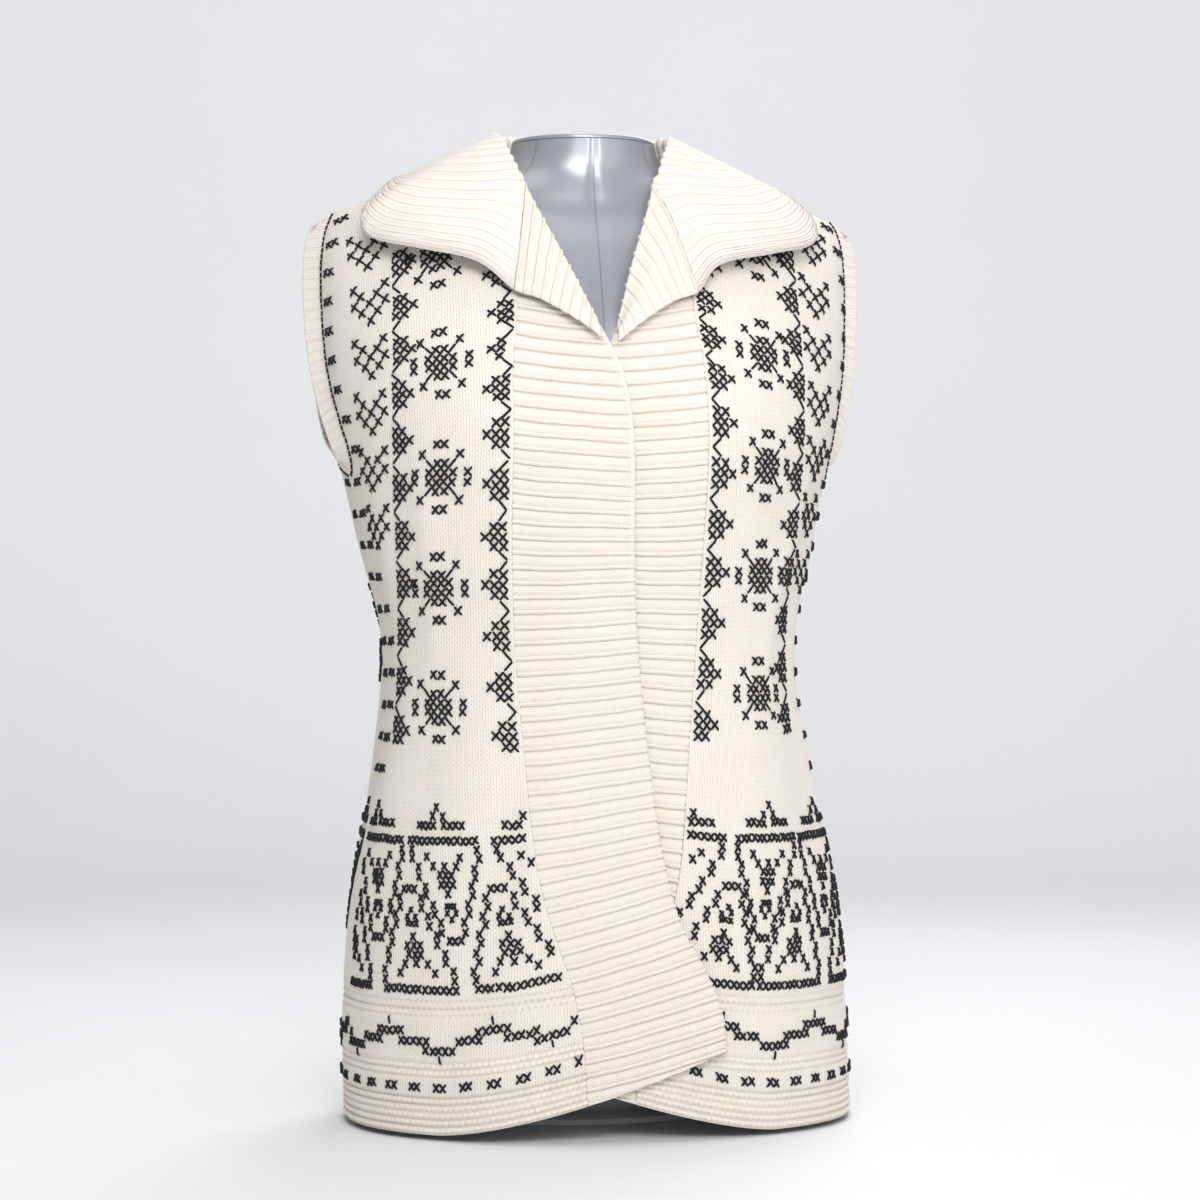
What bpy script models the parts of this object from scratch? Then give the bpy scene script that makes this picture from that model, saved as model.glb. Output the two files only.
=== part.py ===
"""Sweater vest worn by a limbless dress form.

Metres, +Z up, the front faces -Y and the wearer's right is -X. The origin is the
middle of the underside of the form's foot.
"""
import math
from collections import namedtuple

import bmesh
import bpy
from mathutils import Vector

# Driving dimensions
WALL = 0.003                # thickness of the knitted cloth
SEAM_GAP = 0.0003           # air between two pieces that are sewn together
ROUNDNESS = 2.3             # exponent of the cloth's oval sections
TILT_POWER = 1.4            # how a row above the armholes falls from neck to side
SIDE_SEAM_DEG = 80.0        # the side seam, counted round from the front centre
HEM_LEVEL = 0.004           # height of the hem at the side seam
GORGE_LEVEL = 0.603         # row where the front bands end and the collar starts
SHOULDER_LEVEL = 0.626      # row of the shoulder seam
NECK_HALF = 0.070           # half width of the neckline at the shoulder seams
NECK_DROP_BACK = 0.024      # how far the back neck dips below the shoulder seams
OVER_OFFSET = 0.0044        # how far the upper front stands out where the fronts cross
UNDER_OFFSET = -0.0014      # how far the lower front lies in there
CROSS_FADE = 0.045          # width over which a front returns to its own surface
HEM_RISE = 0.055            # how much higher the hem is at a front's free edge
RISE_FROM = 0.115           # distance from the centre where that rise starts
RISE_SPAN = 0.190           # distance over which the hem rises
RISE_POWER = 1.4            # how slowly it starts
RISE_FADE_LEVEL = 0.31      # row above which the rise has died out
BUST_RISE = 0.010           # fullness over each side of the chest
BUST_X, BUST_Z = 0.078, 0.472
BUST_RADIUS = 0.052
ARMBAND_WIDTH = 0.016       # depth of the ribbing round the armholes
LAPEL_LIFT = 0.0050         # height of the lapel's middle above the band under it
LAPEL_LIFT_SHARE = 0.45     # share of the lapel's width over which it lifts
TOUCH_GAP = 0.0001          # extra air where a piece lies against another
EDGE_SLANT = 0.6            # least share of a row's half width that one radian crosses
NECK_BLEND = 0.013          # how far below the gorge the back's rows start to bend
SHOULDER_TOP = SHOULDER_LEVEL - 1e-6
COLLAR_TURN = WALL * 1.15   # radius of the collar's turn at its roll
COLLAR_TURN_OUT = (0.6, 1.7)  # how far out the turn's two points lie, in radii
COLLAR_TURN_DROP = 0.5      # how far the second of them lies below the roll, in radii
BUST_EDGE = 3.0             # how quickly that fullness dies out towards the side

# The cloth's rows, one for each height. side_z is the height of the row at the
# side, front_z and back_z at the centres; half, front and back are the oval's
# reach to the side, front and back; shift moves the row sideways.
Row = namedtuple("Row", "side_z front_z back_z half front back shift")
ROWS = [
    Row(0.004, 0.004, 0.004, 0.1780, 0.1280, 0.1130, 0.0100),
    Row(0.039, 0.039, 0.039, 0.1775, 0.1270, 0.1140, 0.0090),
    Row(0.083, 0.083, 0.083, 0.1760, 0.1260, 0.1160, 0.0080),
    Row(0.126, 0.126, 0.126, 0.1735, 0.1240, 0.1170, 0.0075),
    Row(0.164, 0.164, 0.164, 0.1690, 0.1220, 0.1150, 0.0072),
    Row(0.195, 0.195, 0.195, 0.1630, 0.1190, 0.1110, 0.0062),
    Row(0.220, 0.220, 0.220, 0.1570, 0.1160, 0.1060, 0.0050),
    Row(0.262, 0.262, 0.262, 0.1500, 0.1120, 0.0970, 0.0042),
    Row(0.294, 0.294, 0.294, 0.1455, 0.1100, 0.0920, 0.0032),
    Row(0.325, 0.325, 0.325, 0.1440, 0.1100, 0.0900, 0.0028),
    Row(0.352, 0.352, 0.352, 0.1465, 0.1120, 0.0910, 0.0024),
    Row(0.389, 0.389, 0.389, 0.1555, 0.1175, 0.0950, 0.0010),
    Row(0.414, 0.414, 0.414, 0.1610, 0.1210, 0.0980, 0.0000),
    Row(0.445, 0.447, 0.446, 0.1680, 0.1240, 0.1010, 0.0000),
    Row(0.470, 0.478, 0.475, 0.1745, 0.1240, 0.1030, 0.0000),
    Row(0.495, 0.511, 0.508, 0.1790, 0.1200, 0.1040, 0.0000),
    Row(0.520, 0.544, 0.542, 0.1825, 0.1120, 0.1030, 0.0000),
    Row(0.545, 0.577, 0.577, 0.1845, 0.1005, 0.0980, 0.0000),
    Row(0.570, 0.608, 0.610, 0.1855, 0.0865, 0.0880, 0.0000),
    Row(0.592, 0.635, 0.638, 0.1855, 0.0710, 0.0740, 0.0000),
    Row(0.608, 0.654, 0.656, 0.1845, 0.0540, 0.0575, 0.0000),
    Row(0.618, 0.667, 0.668, 0.1825, 0.0360, 0.0385, 0.0000),
    Row(0.624, 0.6755, 0.6760, 0.1808, 0.0190, 0.0200, 0.0000),
    Row(0.626, 0.6800, 0.6800, 0.1800, 0.0000, 0.0000, 0.0000),
]

# The armhole's edge on the front and back, in degrees round from the front
# centre, and how its ribbing turns: out to the side, and down.
ArmRow = namedtuple("ArmRow", "level front_deg back_deg out drop")
ARM_ROWS = [
    ArmRow(0.4450, 80.0, 80.0, 0.30, 0.00),
    ArmRow(0.4485, 78.0, 87.0, 0.32, 0.00),
    ArmRow(0.4540, 77.0, 92.5, 0.36, 0.00),
    ArmRow(0.4650, 76.8, 98.0, 0.46, 0.00),
    ArmRow(0.4810, 78.6, 102.2, 0.60, 0.00),
    ArmRow(0.5020, 81.4, 105.0, 0.78, 0.00),
    ArmRow(0.5190, 82.8, 106.2, 0.90, 0.00),
    ArmRow(0.5300, 83.4, 106.6, 0.97, 0.00),
    ArmRow(0.5500, 84.0, 106.8, 1.10, 0.00),
    ArmRow(0.5720, 84.0, 106.0, 1.15, 0.00),
    ArmRow(0.5900, 83.6, 104.8, 1.05, 0.05),
    ArmRow(0.6030, 83.0, 103.4, 0.85, 0.12),
    ArmRow(0.6130, 82.2, 102.2, 0.60, 0.22),
    ArmRow(0.6200, 81.0, 101.6, 0.35, 0.32),
    ArmRow(0.6245, 79.4, 101.6, 0.18, 0.38),
    ArmRow(0.6260, 78.0, 102.0, 0.12, 0.40),
]

# Where each front band is sewn on, and its free edge, by row. Distances are from
# the centre towards the band's own side, so a band that crosses over is negative.
# lean moves both free edges sideways, because the neck opening hangs a little off.
BandRow = namedtuple("BandRow", "level seam free lean")
BAND_ROWS = [
    BandRow(0.004, 0.0165, -0.0770, 0.0),
    BandRow(0.035, 0.0180, -0.0755, 0.0),
    BandRow(0.060, 0.0205, -0.0700, 0.0),
    BandRow(0.090, 0.0255, -0.0600, 0.0),
    BandRow(0.115, 0.0325, -0.0500, 0.0),
    BandRow(0.140, 0.0400, -0.0425, 0.0),
    BandRow(0.170, 0.0470, -0.0365, 0.0),
    BandRow(0.210, 0.0520, -0.0310, 0.0),
    BandRow(0.260, 0.0560, -0.0260, 0.0),
    BandRow(0.320, 0.0610, -0.0205, 0.0),
    BandRow(0.400, 0.0650, -0.0155, 0.0),
    BandRow(0.470, 0.0655, -0.0135, 0.0),
    BandRow(0.495, 0.0650, -0.0075, 0.0),
    BandRow(0.508, 0.0640, 0.0000, 0.0),
    BandRow(0.519, 0.0620, 0.0065, -0.0006),
    BandRow(0.530, 0.0605, 0.0125, -0.0016),
    BandRow(0.550, 0.0595, 0.0215, -0.0030),
    BandRow(0.572, 0.0610, 0.0315, -0.0040),
    BandRow(0.590, 0.0635, 0.0395, -0.0045),
    BandRow(0.603, 0.0655, 0.0440, -0.0045),
]

# The front neckline above the gorge: distance from the centre, by row.
NECK_ROWS = [(0.603, 0.0655), (0.613, 0.0670), (0.620, 0.0690), (0.626, NECK_HALF)]

# The lapel's outer edge on the chest, from the bottom of the V up to the gorge
# seam, for the rows where its fold is: distance from the centre and row.
LapelRow = namedtuple("LapelRow", "fold_level edge_x edge_level")
LAPEL_ROWS = [
    LapelRow(0.5190, 0.0060, 0.5100),
    LapelRow(0.5300, 0.0180, 0.5180),
    LapelRow(0.5500, 0.0330, 0.5270),
    LapelRow(0.5720, 0.0460, 0.5340),
    LapelRow(0.5900, 0.0555, 0.5375),
    LapelRow(GORGE_LEVEL, 0.0615, 0.5400),
]

# The collar's sections on one side, round to the back centre. The first follows the
# lapel's end. base is the inside of the stand at the neckline, then come the roll and
# the outer edge, each as x, y, z; lift is how far the fall bulges between those two.
CollarRow = namedtuple("CollarRow", "place base roll edge lift lean")
COLLAR_ROWS = [
    CollarRow("front slope", (0.0560, -0.0470, 0.6480), (0.0475, -0.0540, 0.6530),
              (0.0830, -0.1010, 0.5860), 0.0050, -0.0045),
    CollarRow("under the point", (0.0600, -0.0390, 0.6560), (0.0510, -0.0440, 0.6640),
              (0.1210, -0.0880, 0.5955), 0.0040, -0.0040),
    CollarRow("low point", (0.0630, -0.0290, 0.6620), (0.0545, -0.0330, 0.6725),
              (0.1530, -0.0660, 0.6050), 0.0040, -0.0030),
    CollarRow("high point", (0.0645, -0.0190, 0.6660), (0.0570, -0.0220, 0.6790),
              (0.1570, -0.0480, 0.6230), 0.0030, -0.0020),
    CollarRow("front of shoulder", (0.0650, -0.0080, 0.6690), (0.0590, -0.0090, 0.6830),
              (0.1430, -0.0230, 0.6420), 0.0000, -0.0010),
    CollarRow("shoulder", (0.0640, 0.0070, 0.6690), (0.0595, 0.0070, 0.6845),
              (0.1270, 0.0060, 0.6535), -0.0010, 0.0),
    CollarRow("back of shoulder", (0.0590, 0.0250, 0.6660), (0.0555, 0.0250, 0.6865),
              (0.1110, 0.0400, 0.6480), 0.0010, 0.0),
    CollarRow("back side", (0.0480, 0.0410, 0.6610), (0.0450, 0.0410, 0.6880),
              (0.0870, 0.0780, 0.6200), 0.0030, 0.0),
    CollarRow("back quarter", (0.0270, 0.0520, 0.6570), (0.0250, 0.0520, 0.6890),
              (0.0450, 0.0955, 0.6040), 0.0050, 0.0),
    CollarRow("back centre", (0.0000, 0.0560, 0.6550), (0.0000, 0.0560, 0.6890),
              (0.0000, 0.0995, 0.5985), 0.0055, 0.0),
]

# The dress form's rings: half width, reach to the front and back, and roundness.
FormRing = namedtuple("FormRing", "z half front back power")
FORM_RINGS = [
    FormRing(0.0480, 0.0950, 0.0560, 0.0620, 2.2),
    FormRing(0.0500, 0.1200, 0.0740, 0.0780, 2.2),
    FormRing(0.0580, 0.1400, 0.0900, 0.0910, 2.2),
    FormRing(0.0750, 0.1505, 0.0970, 0.0980, 2.2),
    FormRing(0.1100, 0.1520, 0.0985, 0.1010, 2.2),
    FormRing(0.1700, 0.1450, 0.0960, 0.0980, 2.2),
    FormRing(0.2300, 0.1320, 0.0900, 0.0850, 2.2),
    FormRing(0.2800, 0.1235, 0.0850, 0.0755, 2.2),
    FormRing(0.3250, 0.1200, 0.0840, 0.0720, 2.2),
    FormRing(0.3700, 0.1270, 0.0890, 0.0760, 2.2),
    FormRing(0.4200, 0.1420, 0.1000, 0.0840, 2.2),
    FormRing(0.4600, 0.1530, 0.1065, 0.0900, 2.2),
    FormRing(0.5000, 0.1610, 0.1040, 0.0930, 2.2),
    FormRing(0.5400, 0.1660, 0.0960, 0.0930, 2.2),
    FormRing(0.5750, 0.1680, 0.0830, 0.0870, 2.2),
    FormRing(0.6000, 0.1670, 0.0710, 0.0760, 2.2),
    FormRing(0.6160, 0.1645, 0.0620, 0.0660, 2.1),
    FormRing(0.6275, 0.1560, 0.0560, 0.0600, 2.0),
    FormRing(0.6400, 0.1310, 0.0525, 0.0560, 1.9),
    FormRing(0.6500, 0.0990, 0.0495, 0.0500, 1.8),
    FormRing(0.6570, 0.0690, 0.0485, 0.0495, 1.8),
    FormRing(0.6640, 0.0555, 0.0480, 0.0505, 2.0),
    FormRing(0.6700, 0.0515, 0.0480, 0.0500, 2.0),
    FormRing(0.6767, 0.0505, 0.0480, 0.0500, 2.0),
]
FOOT_BACK = 0.012           # how far the foot sits behind the origin
FOOT_HALF = (0.098, 0.066)  # half width and half depth of the foot's plate
FOOT_PLATE = 0.006          # height of that plate
FOOT_STEP = 0.002           # height of the slope from the plate to the stem
FOOT_STEM = (0.060, 0.040)  # half width and half depth of the short stem on it
CAP_HEIGHT = 0.0028         # thickness of the disc that closes the neck
CAP_INSET = 0.0004          # how far that disc stays inside the neck's edge

# Mesh density
LOWER_LEVELS = [0.004, 0.030, 0.060, 0.090, 0.120, 0.150, 0.185, 0.220, 0.260,
                0.300, 0.340, 0.375, 0.410]
ARM_LEVELS = [row.level for row in ARM_ROWS]
FRONT_COLUMNS = 9
BAND_COLUMNS = 5
BACK_SHOULDER_COLUMNS = 7
BACK_NECK_COLUMNS = 8
FALL_COLUMNS = 7
COLLAR_PER_ROW = 2
FORM_SIDES = 40

CREAM = (0.90, 0.84, 0.74, 1.0)
SILVER = (0.42, 0.44, 0.49, 1.0)


# ---- Numbers along a table ----

def along(keys, values, key):
    """A smooth value at key, through a table's keys and values."""
    last = len(keys) - 1
    if key <= keys[0]:
        return values[0]
    if key >= keys[last]:
        return values[last]
    low = max(i for i in range(last) if keys[i] <= key)
    span = keys[low + 1] - keys[low]
    t = (key - keys[low]) / span

    def slope(i):
        before, after = max(i - 1, 0), min(i + 1, last)
        return (values[after] - values[before]) / (keys[after] - keys[before]) * span

    rest = 1.0 - t
    start = values[low] * (1 + 2 * t) * rest * rest + slope(low) * t * rest * rest
    end = values[low + 1] * (1 + 2 * rest) * t * t - slope(low + 1) * rest * t * t
    return start + end


def column(rows, key_name, value_name, key):
    """The smooth value of one named column of a table."""
    keys = [getattr(row, key_name) for row in rows]
    values = [getattr(row, value_name) for row in rows]
    return along(keys, values, key)


def ease(t):
    """0 to 1 with soft ends."""
    t = min(max(t, 0.0), 1.0)
    return t * t * (3.0 - 2.0 * t)


# ---- The cloth's surface ----

def oval_depth(sine, power):
    """An oval's reach as a share of its depth, at a share of its width."""
    return max(0.0, 1.0 - abs(sine) ** power) ** (1.0 / power)


def bust_fullness(x, z):
    """Fullness over each side of the chest."""
    distance = ((abs(x) - BUST_X) ** 2 + (z - BUST_Z) ** 2) / BUST_RADIUS ** 2
    return BUST_RISE * math.exp(-distance)


def cloth_point(side, degrees, level):
    """A point on the vest's outer face; degrees run from front centre to back."""
    row = {name: column(ROWS, "side_z", name, level) for name in Row._fields}
    sine = math.sin(math.radians(degrees))
    in_front = degrees < 90.0
    x = side * row["half"] * sine
    centre_z = row["front_z"] if in_front else row["back_z"]
    z = centre_z - (centre_z - row["side_z"]) * abs(sine) ** TILT_POWER
    reach = oval_depth(sine, ROUNDNESS)
    if in_front:
        y = -row["front"] * reach - bust_fullness(x, z) * min(1.0, BUST_EDGE * reach)
    else:
        y = row["back"] * reach
    return Vector((x + row["shift"], y, z))


def cloth_normal(side, degrees, level):
    """The outward normal of the vest's outer face."""
    turn, step = 0.5, 0.0006
    if level >= SHOULDER_TOP:
        inner = cloth_point(side, degrees - turn, level)
        outer = cloth_point(side, degrees + turn, level)
        run = outer - inner
        normal = Vector((-run.z, 0.0, run.x))
        return (normal if normal.z > 0 else -normal).normalized()
    before, after = (cloth_point(side, degrees + way * turn, level) for way in (-1, 1))
    low = max(level - step, HEM_LEVEL)
    up_run = cloth_point(side, degrees, level + step) - cloth_point(side, degrees, low)
    return ((after - before).cross(up_run) * side).normalized()


def crossing(own_x, level):
    """1 where the two fronts lie over each other, fading to 0 beside it."""
    reach = max(0.0, -column(BAND_ROWS, "level", "free", level))
    return 1.0 - ease((abs(own_x) - reach) / CROSS_FADE)


def hem_rise(own_x, level):
    """How far a front is drawn up towards its free edge near the hem."""
    share = (RISE_FROM - own_x) / RISE_SPAN
    if share <= 0.0 or level >= RISE_FADE_LEVEL:
        return 0.0
    fade = (1.0 - level / RISE_FADE_LEVEL) ** 1.5
    return HEM_RISE * share ** RISE_POWER * fade


def front_place(side, degrees, level):
    """A front's outer point and its normal, with its layer and its drawn-up hem."""
    point = cloth_point(side, degrees, level)
    normal = cloth_normal(side, degrees, level)
    own_x = side * point.x
    over = OVER_OFFSET if side < 0 else UNDER_OFFSET
    point = point + normal * (over * crossing(own_x, level))
    point.z += hem_rise(own_x, level)
    return point, normal


def degrees_at(side, own_x, level):
    """Degrees round from the front centre for a distance from the centre."""
    half = column(ROWS, "side_z", "half", level)
    shift = column(ROWS, "side_z", "shift", level)
    return math.degrees(math.asin((own_x - side * shift) / half))


def free_edge(side, level):
    """How far a band's free edge is from the centre, towards its own side."""
    lean = column(BAND_ROWS, "level", "lean", level)
    return column(BAND_ROWS, "level", "free", level) + side * lean


# ---- Meshes ----

def new_object(name, mesh_data, color, roughness, metallic=0.0):
    """One object with its own Principled material."""
    mesh = bpy.data.meshes.new(name)
    mesh_data.to_mesh(mesh)
    mesh_data.free()
    material = bpy.data.materials.new(name)
    material.use_nodes = True
    shader = material.node_tree.nodes["Principled BSDF"]
    shader.inputs["Base Color"].default_value = color
    shader.inputs["Roughness"].default_value = roughness
    shader.inputs["Metallic"].default_value = metallic
    mesh.materials.append(material)
    mesh.shade_smooth()
    mesh.set_sharp_from_angle(angle=math.radians(40))
    piece = bpy.data.objects.new(name, mesh)
    bpy.context.collection.objects.link(piece)
    return piece


def shell(name, outer, inner, color=CREAM, roughness=0.9, ring=False):
    """A closed wall between two grids of points; a ring joins last row to first."""
    mesh_data = bmesh.new()
    rows, columns = len(outer), len(outer[0])
    faces_out = [[mesh_data.verts.new(point) for point in line] for line in outer]
    faces_in = [[mesh_data.verts.new(point) for point in line] for line in inner]
    for i in range(rows if ring else rows - 1):
        k = (i + 1) % rows
        for j in range(columns - 1):
            quad = (faces_out[i][j], faces_out[i][j + 1], faces_out[k][j + 1], faces_out[k][j])
            mesh_data.faces.new(quad)
            quad = (faces_in[i][j], faces_in[k][j], faces_in[k][j + 1], faces_in[i][j + 1])
            mesh_data.faces.new(quad)
        for j in (0, columns - 1):
            mesh_data.faces.new((faces_out[i][j], faces_out[k][j], faces_in[k][j], faces_in[i][j]))
    if not ring:
        for i in (0, rows - 1):
            for j in range(columns - 1):
                quad = (faces_out[i][j], faces_out[i][j + 1], faces_in[i][j + 1], faces_in[i][j])
                mesh_data.faces.new(quad)
    bmesh.ops.recalc_face_normals(mesh_data, faces=mesh_data.faces)
    bmesh.ops.triangulate(mesh_data, faces=mesh_data.faces)
    if mesh_data.calc_volume(signed=True) < 0:
        bmesh.ops.reverse_faces(mesh_data, faces=mesh_data.faces)
    return new_object(name, mesh_data, color, roughness)


def grid_normals(grid):
    """Normals of a grid of points, from its neighbours."""
    rows, columns = len(grid), len(grid[0])
    normals = []
    for i in range(rows):
        line = []
        for j in range(columns):
            down = grid[min(i + 1, rows - 1)][j] - grid[max(i - 1, 0)][j]
            across = grid[i][min(j + 1, columns - 1)] - grid[i][max(j - 1, 0)]
            line.append(across.cross(down).normalized())
        normals.append(line)
    return normals


def centred_shell(name, middle, ring=False, normals=None):
    """A wall built half to each side of a grid of points."""
    normals = normals or grid_normals(middle)
    half = WALL / 2
    outer = [[p + n * half for p, n in zip(*pair)] for pair in zip(middle, normals)]
    inner = [[p - n * half for p, n in zip(*pair)] for pair in zip(middle, normals)]
    return shell(name, outer, inner, ring=ring)


def wall_from_places(name, places):
    """A wall inwards from rows of (outer point, normal)."""
    outer = [[point for point, _ in line] for line in places]
    inner = [[point - normal * WALL for point, normal in line] for line in places]
    return shell(name, outer, inner)


# ---- The vest ----

def edge_gap(level):
    """Half a seam gap, as degrees round the body."""
    half = column(ROWS, "side_z", "half", level)
    return math.degrees(SEAM_GAP / 2 / (EDGE_SLANT * half))


def armhole_degrees(level, name):
    """The armhole's edge at a row; below the armhole it is the side seam."""
    if level <= ARM_LEVELS[0]:
        return SIDE_SEAM_DEG
    return column(ARM_ROWS, "level", name, level)


def seam_share(side_level):
    """The shoulder seam's half gap, towards the front or back."""
    return SEAM_GAP / 2 if side_level >= SHOULDER_TOP else 0.0


def build_front(name, side):
    """A front panel, from its band seam to the side seam and armhole."""
    places = []
    for level in LOWER_LEVELS + ARM_LEVELS:
        if level < GORGE_LEVEL:
            inner_x = column(BAND_ROWS, "level", "seam", level)
        else:
            inner_x = along([row[0] for row in NECK_ROWS], [row[1] for row in NECK_ROWS], level)
        start = degrees_at(side, inner_x, level) + edge_gap(level)
        end = armhole_degrees(level, "front_deg") - edge_gap(level)
        line = []
        for j in range(FRONT_COLUMNS + 1):
            degrees = start + (end - start) * j / FRONT_COLUMNS
            point, normal = front_place(side, degrees, level)
            point.y -= seam_share(level)
            line.append((point, normal))
        places.append(line)
    return wall_from_places(name, places)


def build_band(name, side):
    """A front band, from its seam to its free edge, up to the gorge."""
    places = []
    levels = [level for level in LOWER_LEVELS + ARM_LEVELS if level < GORGE_LEVEL]
    for level in levels + [GORGE_LEVEL - SEAM_GAP]:
        seam = column(BAND_ROWS, "level", "seam", level)
        start = degrees_at(side, seam, level) - edge_gap(level)
        end = degrees_at(side, free_edge(side, level), level)
        line = []
        for j in range(BAND_COLUMNS + 1):
            degrees = start + (end - start) * j / BAND_COLUMNS
            line.append(front_place(side, degrees, level))
        places.append(line)
    return wall_from_places(name, places)


def build_back(name):
    """The back panel, from side seam to side seam and up to both shoulders."""
    top_edge = armhole_degrees(SHOULDER_LEVEL, "back_deg")
    corner = 180.0 - degrees_at(1.0, NECK_HALF, SHOULDER_LEVEL)
    corner = (corner - top_edge) / (360.0 - 2 * top_edge)
    shares = [corner * j / BACK_SHOULDER_COLUMNS for j in range(BACK_SHOULDER_COLUMNS)]
    for j in range(BACK_NECK_COLUMNS + 1):
        across = -math.cos(math.pi * j / BACK_NECK_COLUMNS)
        shares.append(0.5 + (0.5 - corner) * across)
    shares += [1.0 - share for share in reversed(shares[:BACK_SHOULDER_COLUMNS])]
    split = GORGE_LEVEL - NECK_BLEND
    places = []
    for level in LOWER_LEVELS + ARM_LEVELS:
        line = []
        for share in shares:
            own_level = level
            across = (share - 0.5) / (0.5 - corner)
            if level > split and abs(across) < 1.0:
                top = SHOULDER_LEVEL - NECK_DROP_BACK * math.sqrt(1.0 - across * across)
                own_level = split + (level - split) * (top - split) / (SHOULDER_LEVEL - split)
            start = armhole_degrees(own_level, "back_deg") + edge_gap(own_level)
            degrees = start + (360.0 - 2 * start) * share
            side = 1.0
            if degrees > 180.0:
                side, degrees = -1.0, 360.0 - degrees
            point = cloth_point(side, degrees, own_level)
            normal = cloth_normal(side, degrees, own_level)
            point.y += seam_share(own_level)
            line.append((point, normal))
        places.append(line)
    return wall_from_places(name, places)


def build_armband(name, side):
    """The ribbing round an armhole, standing out from the panels' edge."""
    loop = [(row, "front_deg", -1.0) for row in reversed(ARM_ROWS[1:])]
    loop += [(row, "back_deg", 1.0) for row in ARM_ROWS]
    loop = loop[:-1]
    edges = []
    for row, edge_name, _ in loop:
        degrees = getattr(row, edge_name)
        point = cloth_point(side, degrees, row.level)
        normal = cloth_normal(side, degrees, row.level)
        edges.append((point - normal * WALL / 2, normal))
    count = len(loop)
    middle, normals = [], []
    for i, (row, _, _) in enumerate(loop):
        point, normal = edges[i]
        run = (edges[(i + 1) % count][0] - edges[i - 1][0]).normalized()
        off_edge = run.cross(normal) * -side
        sideways = Vector((side, 0.0, 0.0))
        turned = off_edge + sideways * row.out - Vector((0.0, 0.0, row.drop))
        turned = (turned - run * turned.dot(run)).normalized()
        clear = SEAM_GAP + WALL / 2 * abs(turned.dot(normal)) + TOUCH_GAP
        start = point + off_edge * clear
        middle.append([start + turned * (ARMBAND_WIDTH * t) for t in (0.0, 0.5, 1.0)])
        normals.append([turned.cross(run).normalized() * side] * 3)
    return centred_shell(name, middle, ring=True, normals=normals)


def lapel_section(side, row, shift=0.0):
    """A lapel's middle line across, from under its fold to its edge, with normals."""
    level = row.fold_level + shift
    fold_x = free_edge(side, level)
    fold, normal = front_place(side, degrees_at(side, fold_x, level), level)
    edge_deg = degrees_at(side, row.edge_x, row.edge_level)
    edge, _ = front_place(side, edge_deg, row.edge_level)
    across = edge - fold
    across = (across - normal * across.dot(normal)).normalized()
    radius = WALL / 2 + SEAM_GAP / 2 + TOUCH_GAP
    centre = fold + normal * (SEAM_GAP / 2) - across * SEAM_GAP
    line = []
    for degrees in (-90, -45, 0, 45):
        angle = math.radians(degrees)
        out = normal * math.sin(angle) - across * math.cos(angle)
        line.append((centre + out * radius, out))
    for j in range(FALL_COLUMNS):
        t = j / (FALL_COLUMNS - 1)
        x = fold_x + (row.edge_x - fold_x) * t
        own_level = level + (row.edge_level + shift - level) * t
        point, out = front_place(side, degrees_at(side, x, own_level), own_level)
        line.append((point + out * (radius + LAPEL_LIFT * ease(t / LAPEL_LIFT_SHARE)), out))
    return line


def build_lapel(name, side):
    """The top of a front band, turned back over the band itself."""
    lines = [lapel_section(side, row) for row in LAPEL_ROWS[:-1]]
    lines.append(lapel_section(side, LAPEL_ROWS[-1], -SEAM_GAP))
    middle = [[point for point, _ in line] for line in lines]
    return centred_shell(name, middle, normals=[[out for _, out in line] for line in lines])


def collar_section(side, row):
    """The collar's middle line across at one of its rows."""
    places = (row.base, row.roll, row.edge)
    base, roll, edge = (Vector((side * p[0] + row.lean, p[1], p[2])) for p in places)
    outward = edge - roll
    outward.z = 0.0
    outward.normalize()
    near, far = (roll + outward * (COLLAR_TURN * share) for share in COLLAR_TURN_OUT)
    line = [base, base.lerp(roll, 0.5), roll - (roll - base).normalized() * COLLAR_TURN, near]
    start = far - Vector((0, 0, COLLAR_TURN * COLLAR_TURN_DROP))
    bulge = (outward + Vector((0, 0, 1.0))).normalized() * row.lift
    for j in range(FALL_COLUMNS):
        t = j / (FALL_COLUMNS - 1)
        line.append(start.lerp(edge, t) + bulge * (4 * t * (1 - t)))
    return line


def collar_half(side):
    """The collar's middle lines on one side, from the gorge to the back centre."""
    rows = [[point for point, _ in lapel_section(side, LAPEL_ROWS[-1], SEAM_GAP)]]
    rows += [collar_section(side, row) for row in COLLAR_ROWS]
    keys = list(range(len(rows)))
    half = []
    for step in range((len(rows) - 1) * COLLAR_PER_ROW + 1):
        place = step / COLLAR_PER_ROW
        line = []
        for j in range(len(rows[0])):
            parts = [along(keys, [row[j][axis] for row in rows], place) for axis in range(3)]
            line.append(Vector(parts))
        half.append(line)
    return half


def build_collar(name):
    """The ribbed collar, from one gorge seam round the back to the other."""
    middle = collar_half(-1.0) + collar_half(1.0)[-2::-1]
    normals = grid_normals(middle)
    for i, side in ((0, -1.0), (-1, 1.0)):
        normals[i] = [out for _, out in lapel_section(side, LAPEL_ROWS[-1], SEAM_GAP)]
    if normals[1][-1].dot(normals[0][-1]) < 0:
        normals[1:-1] = [[-out for out in line] for line in normals[1:-1]]
    return centred_shell(name, middle, normals=normals)


# ---- The dress form ----

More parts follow.
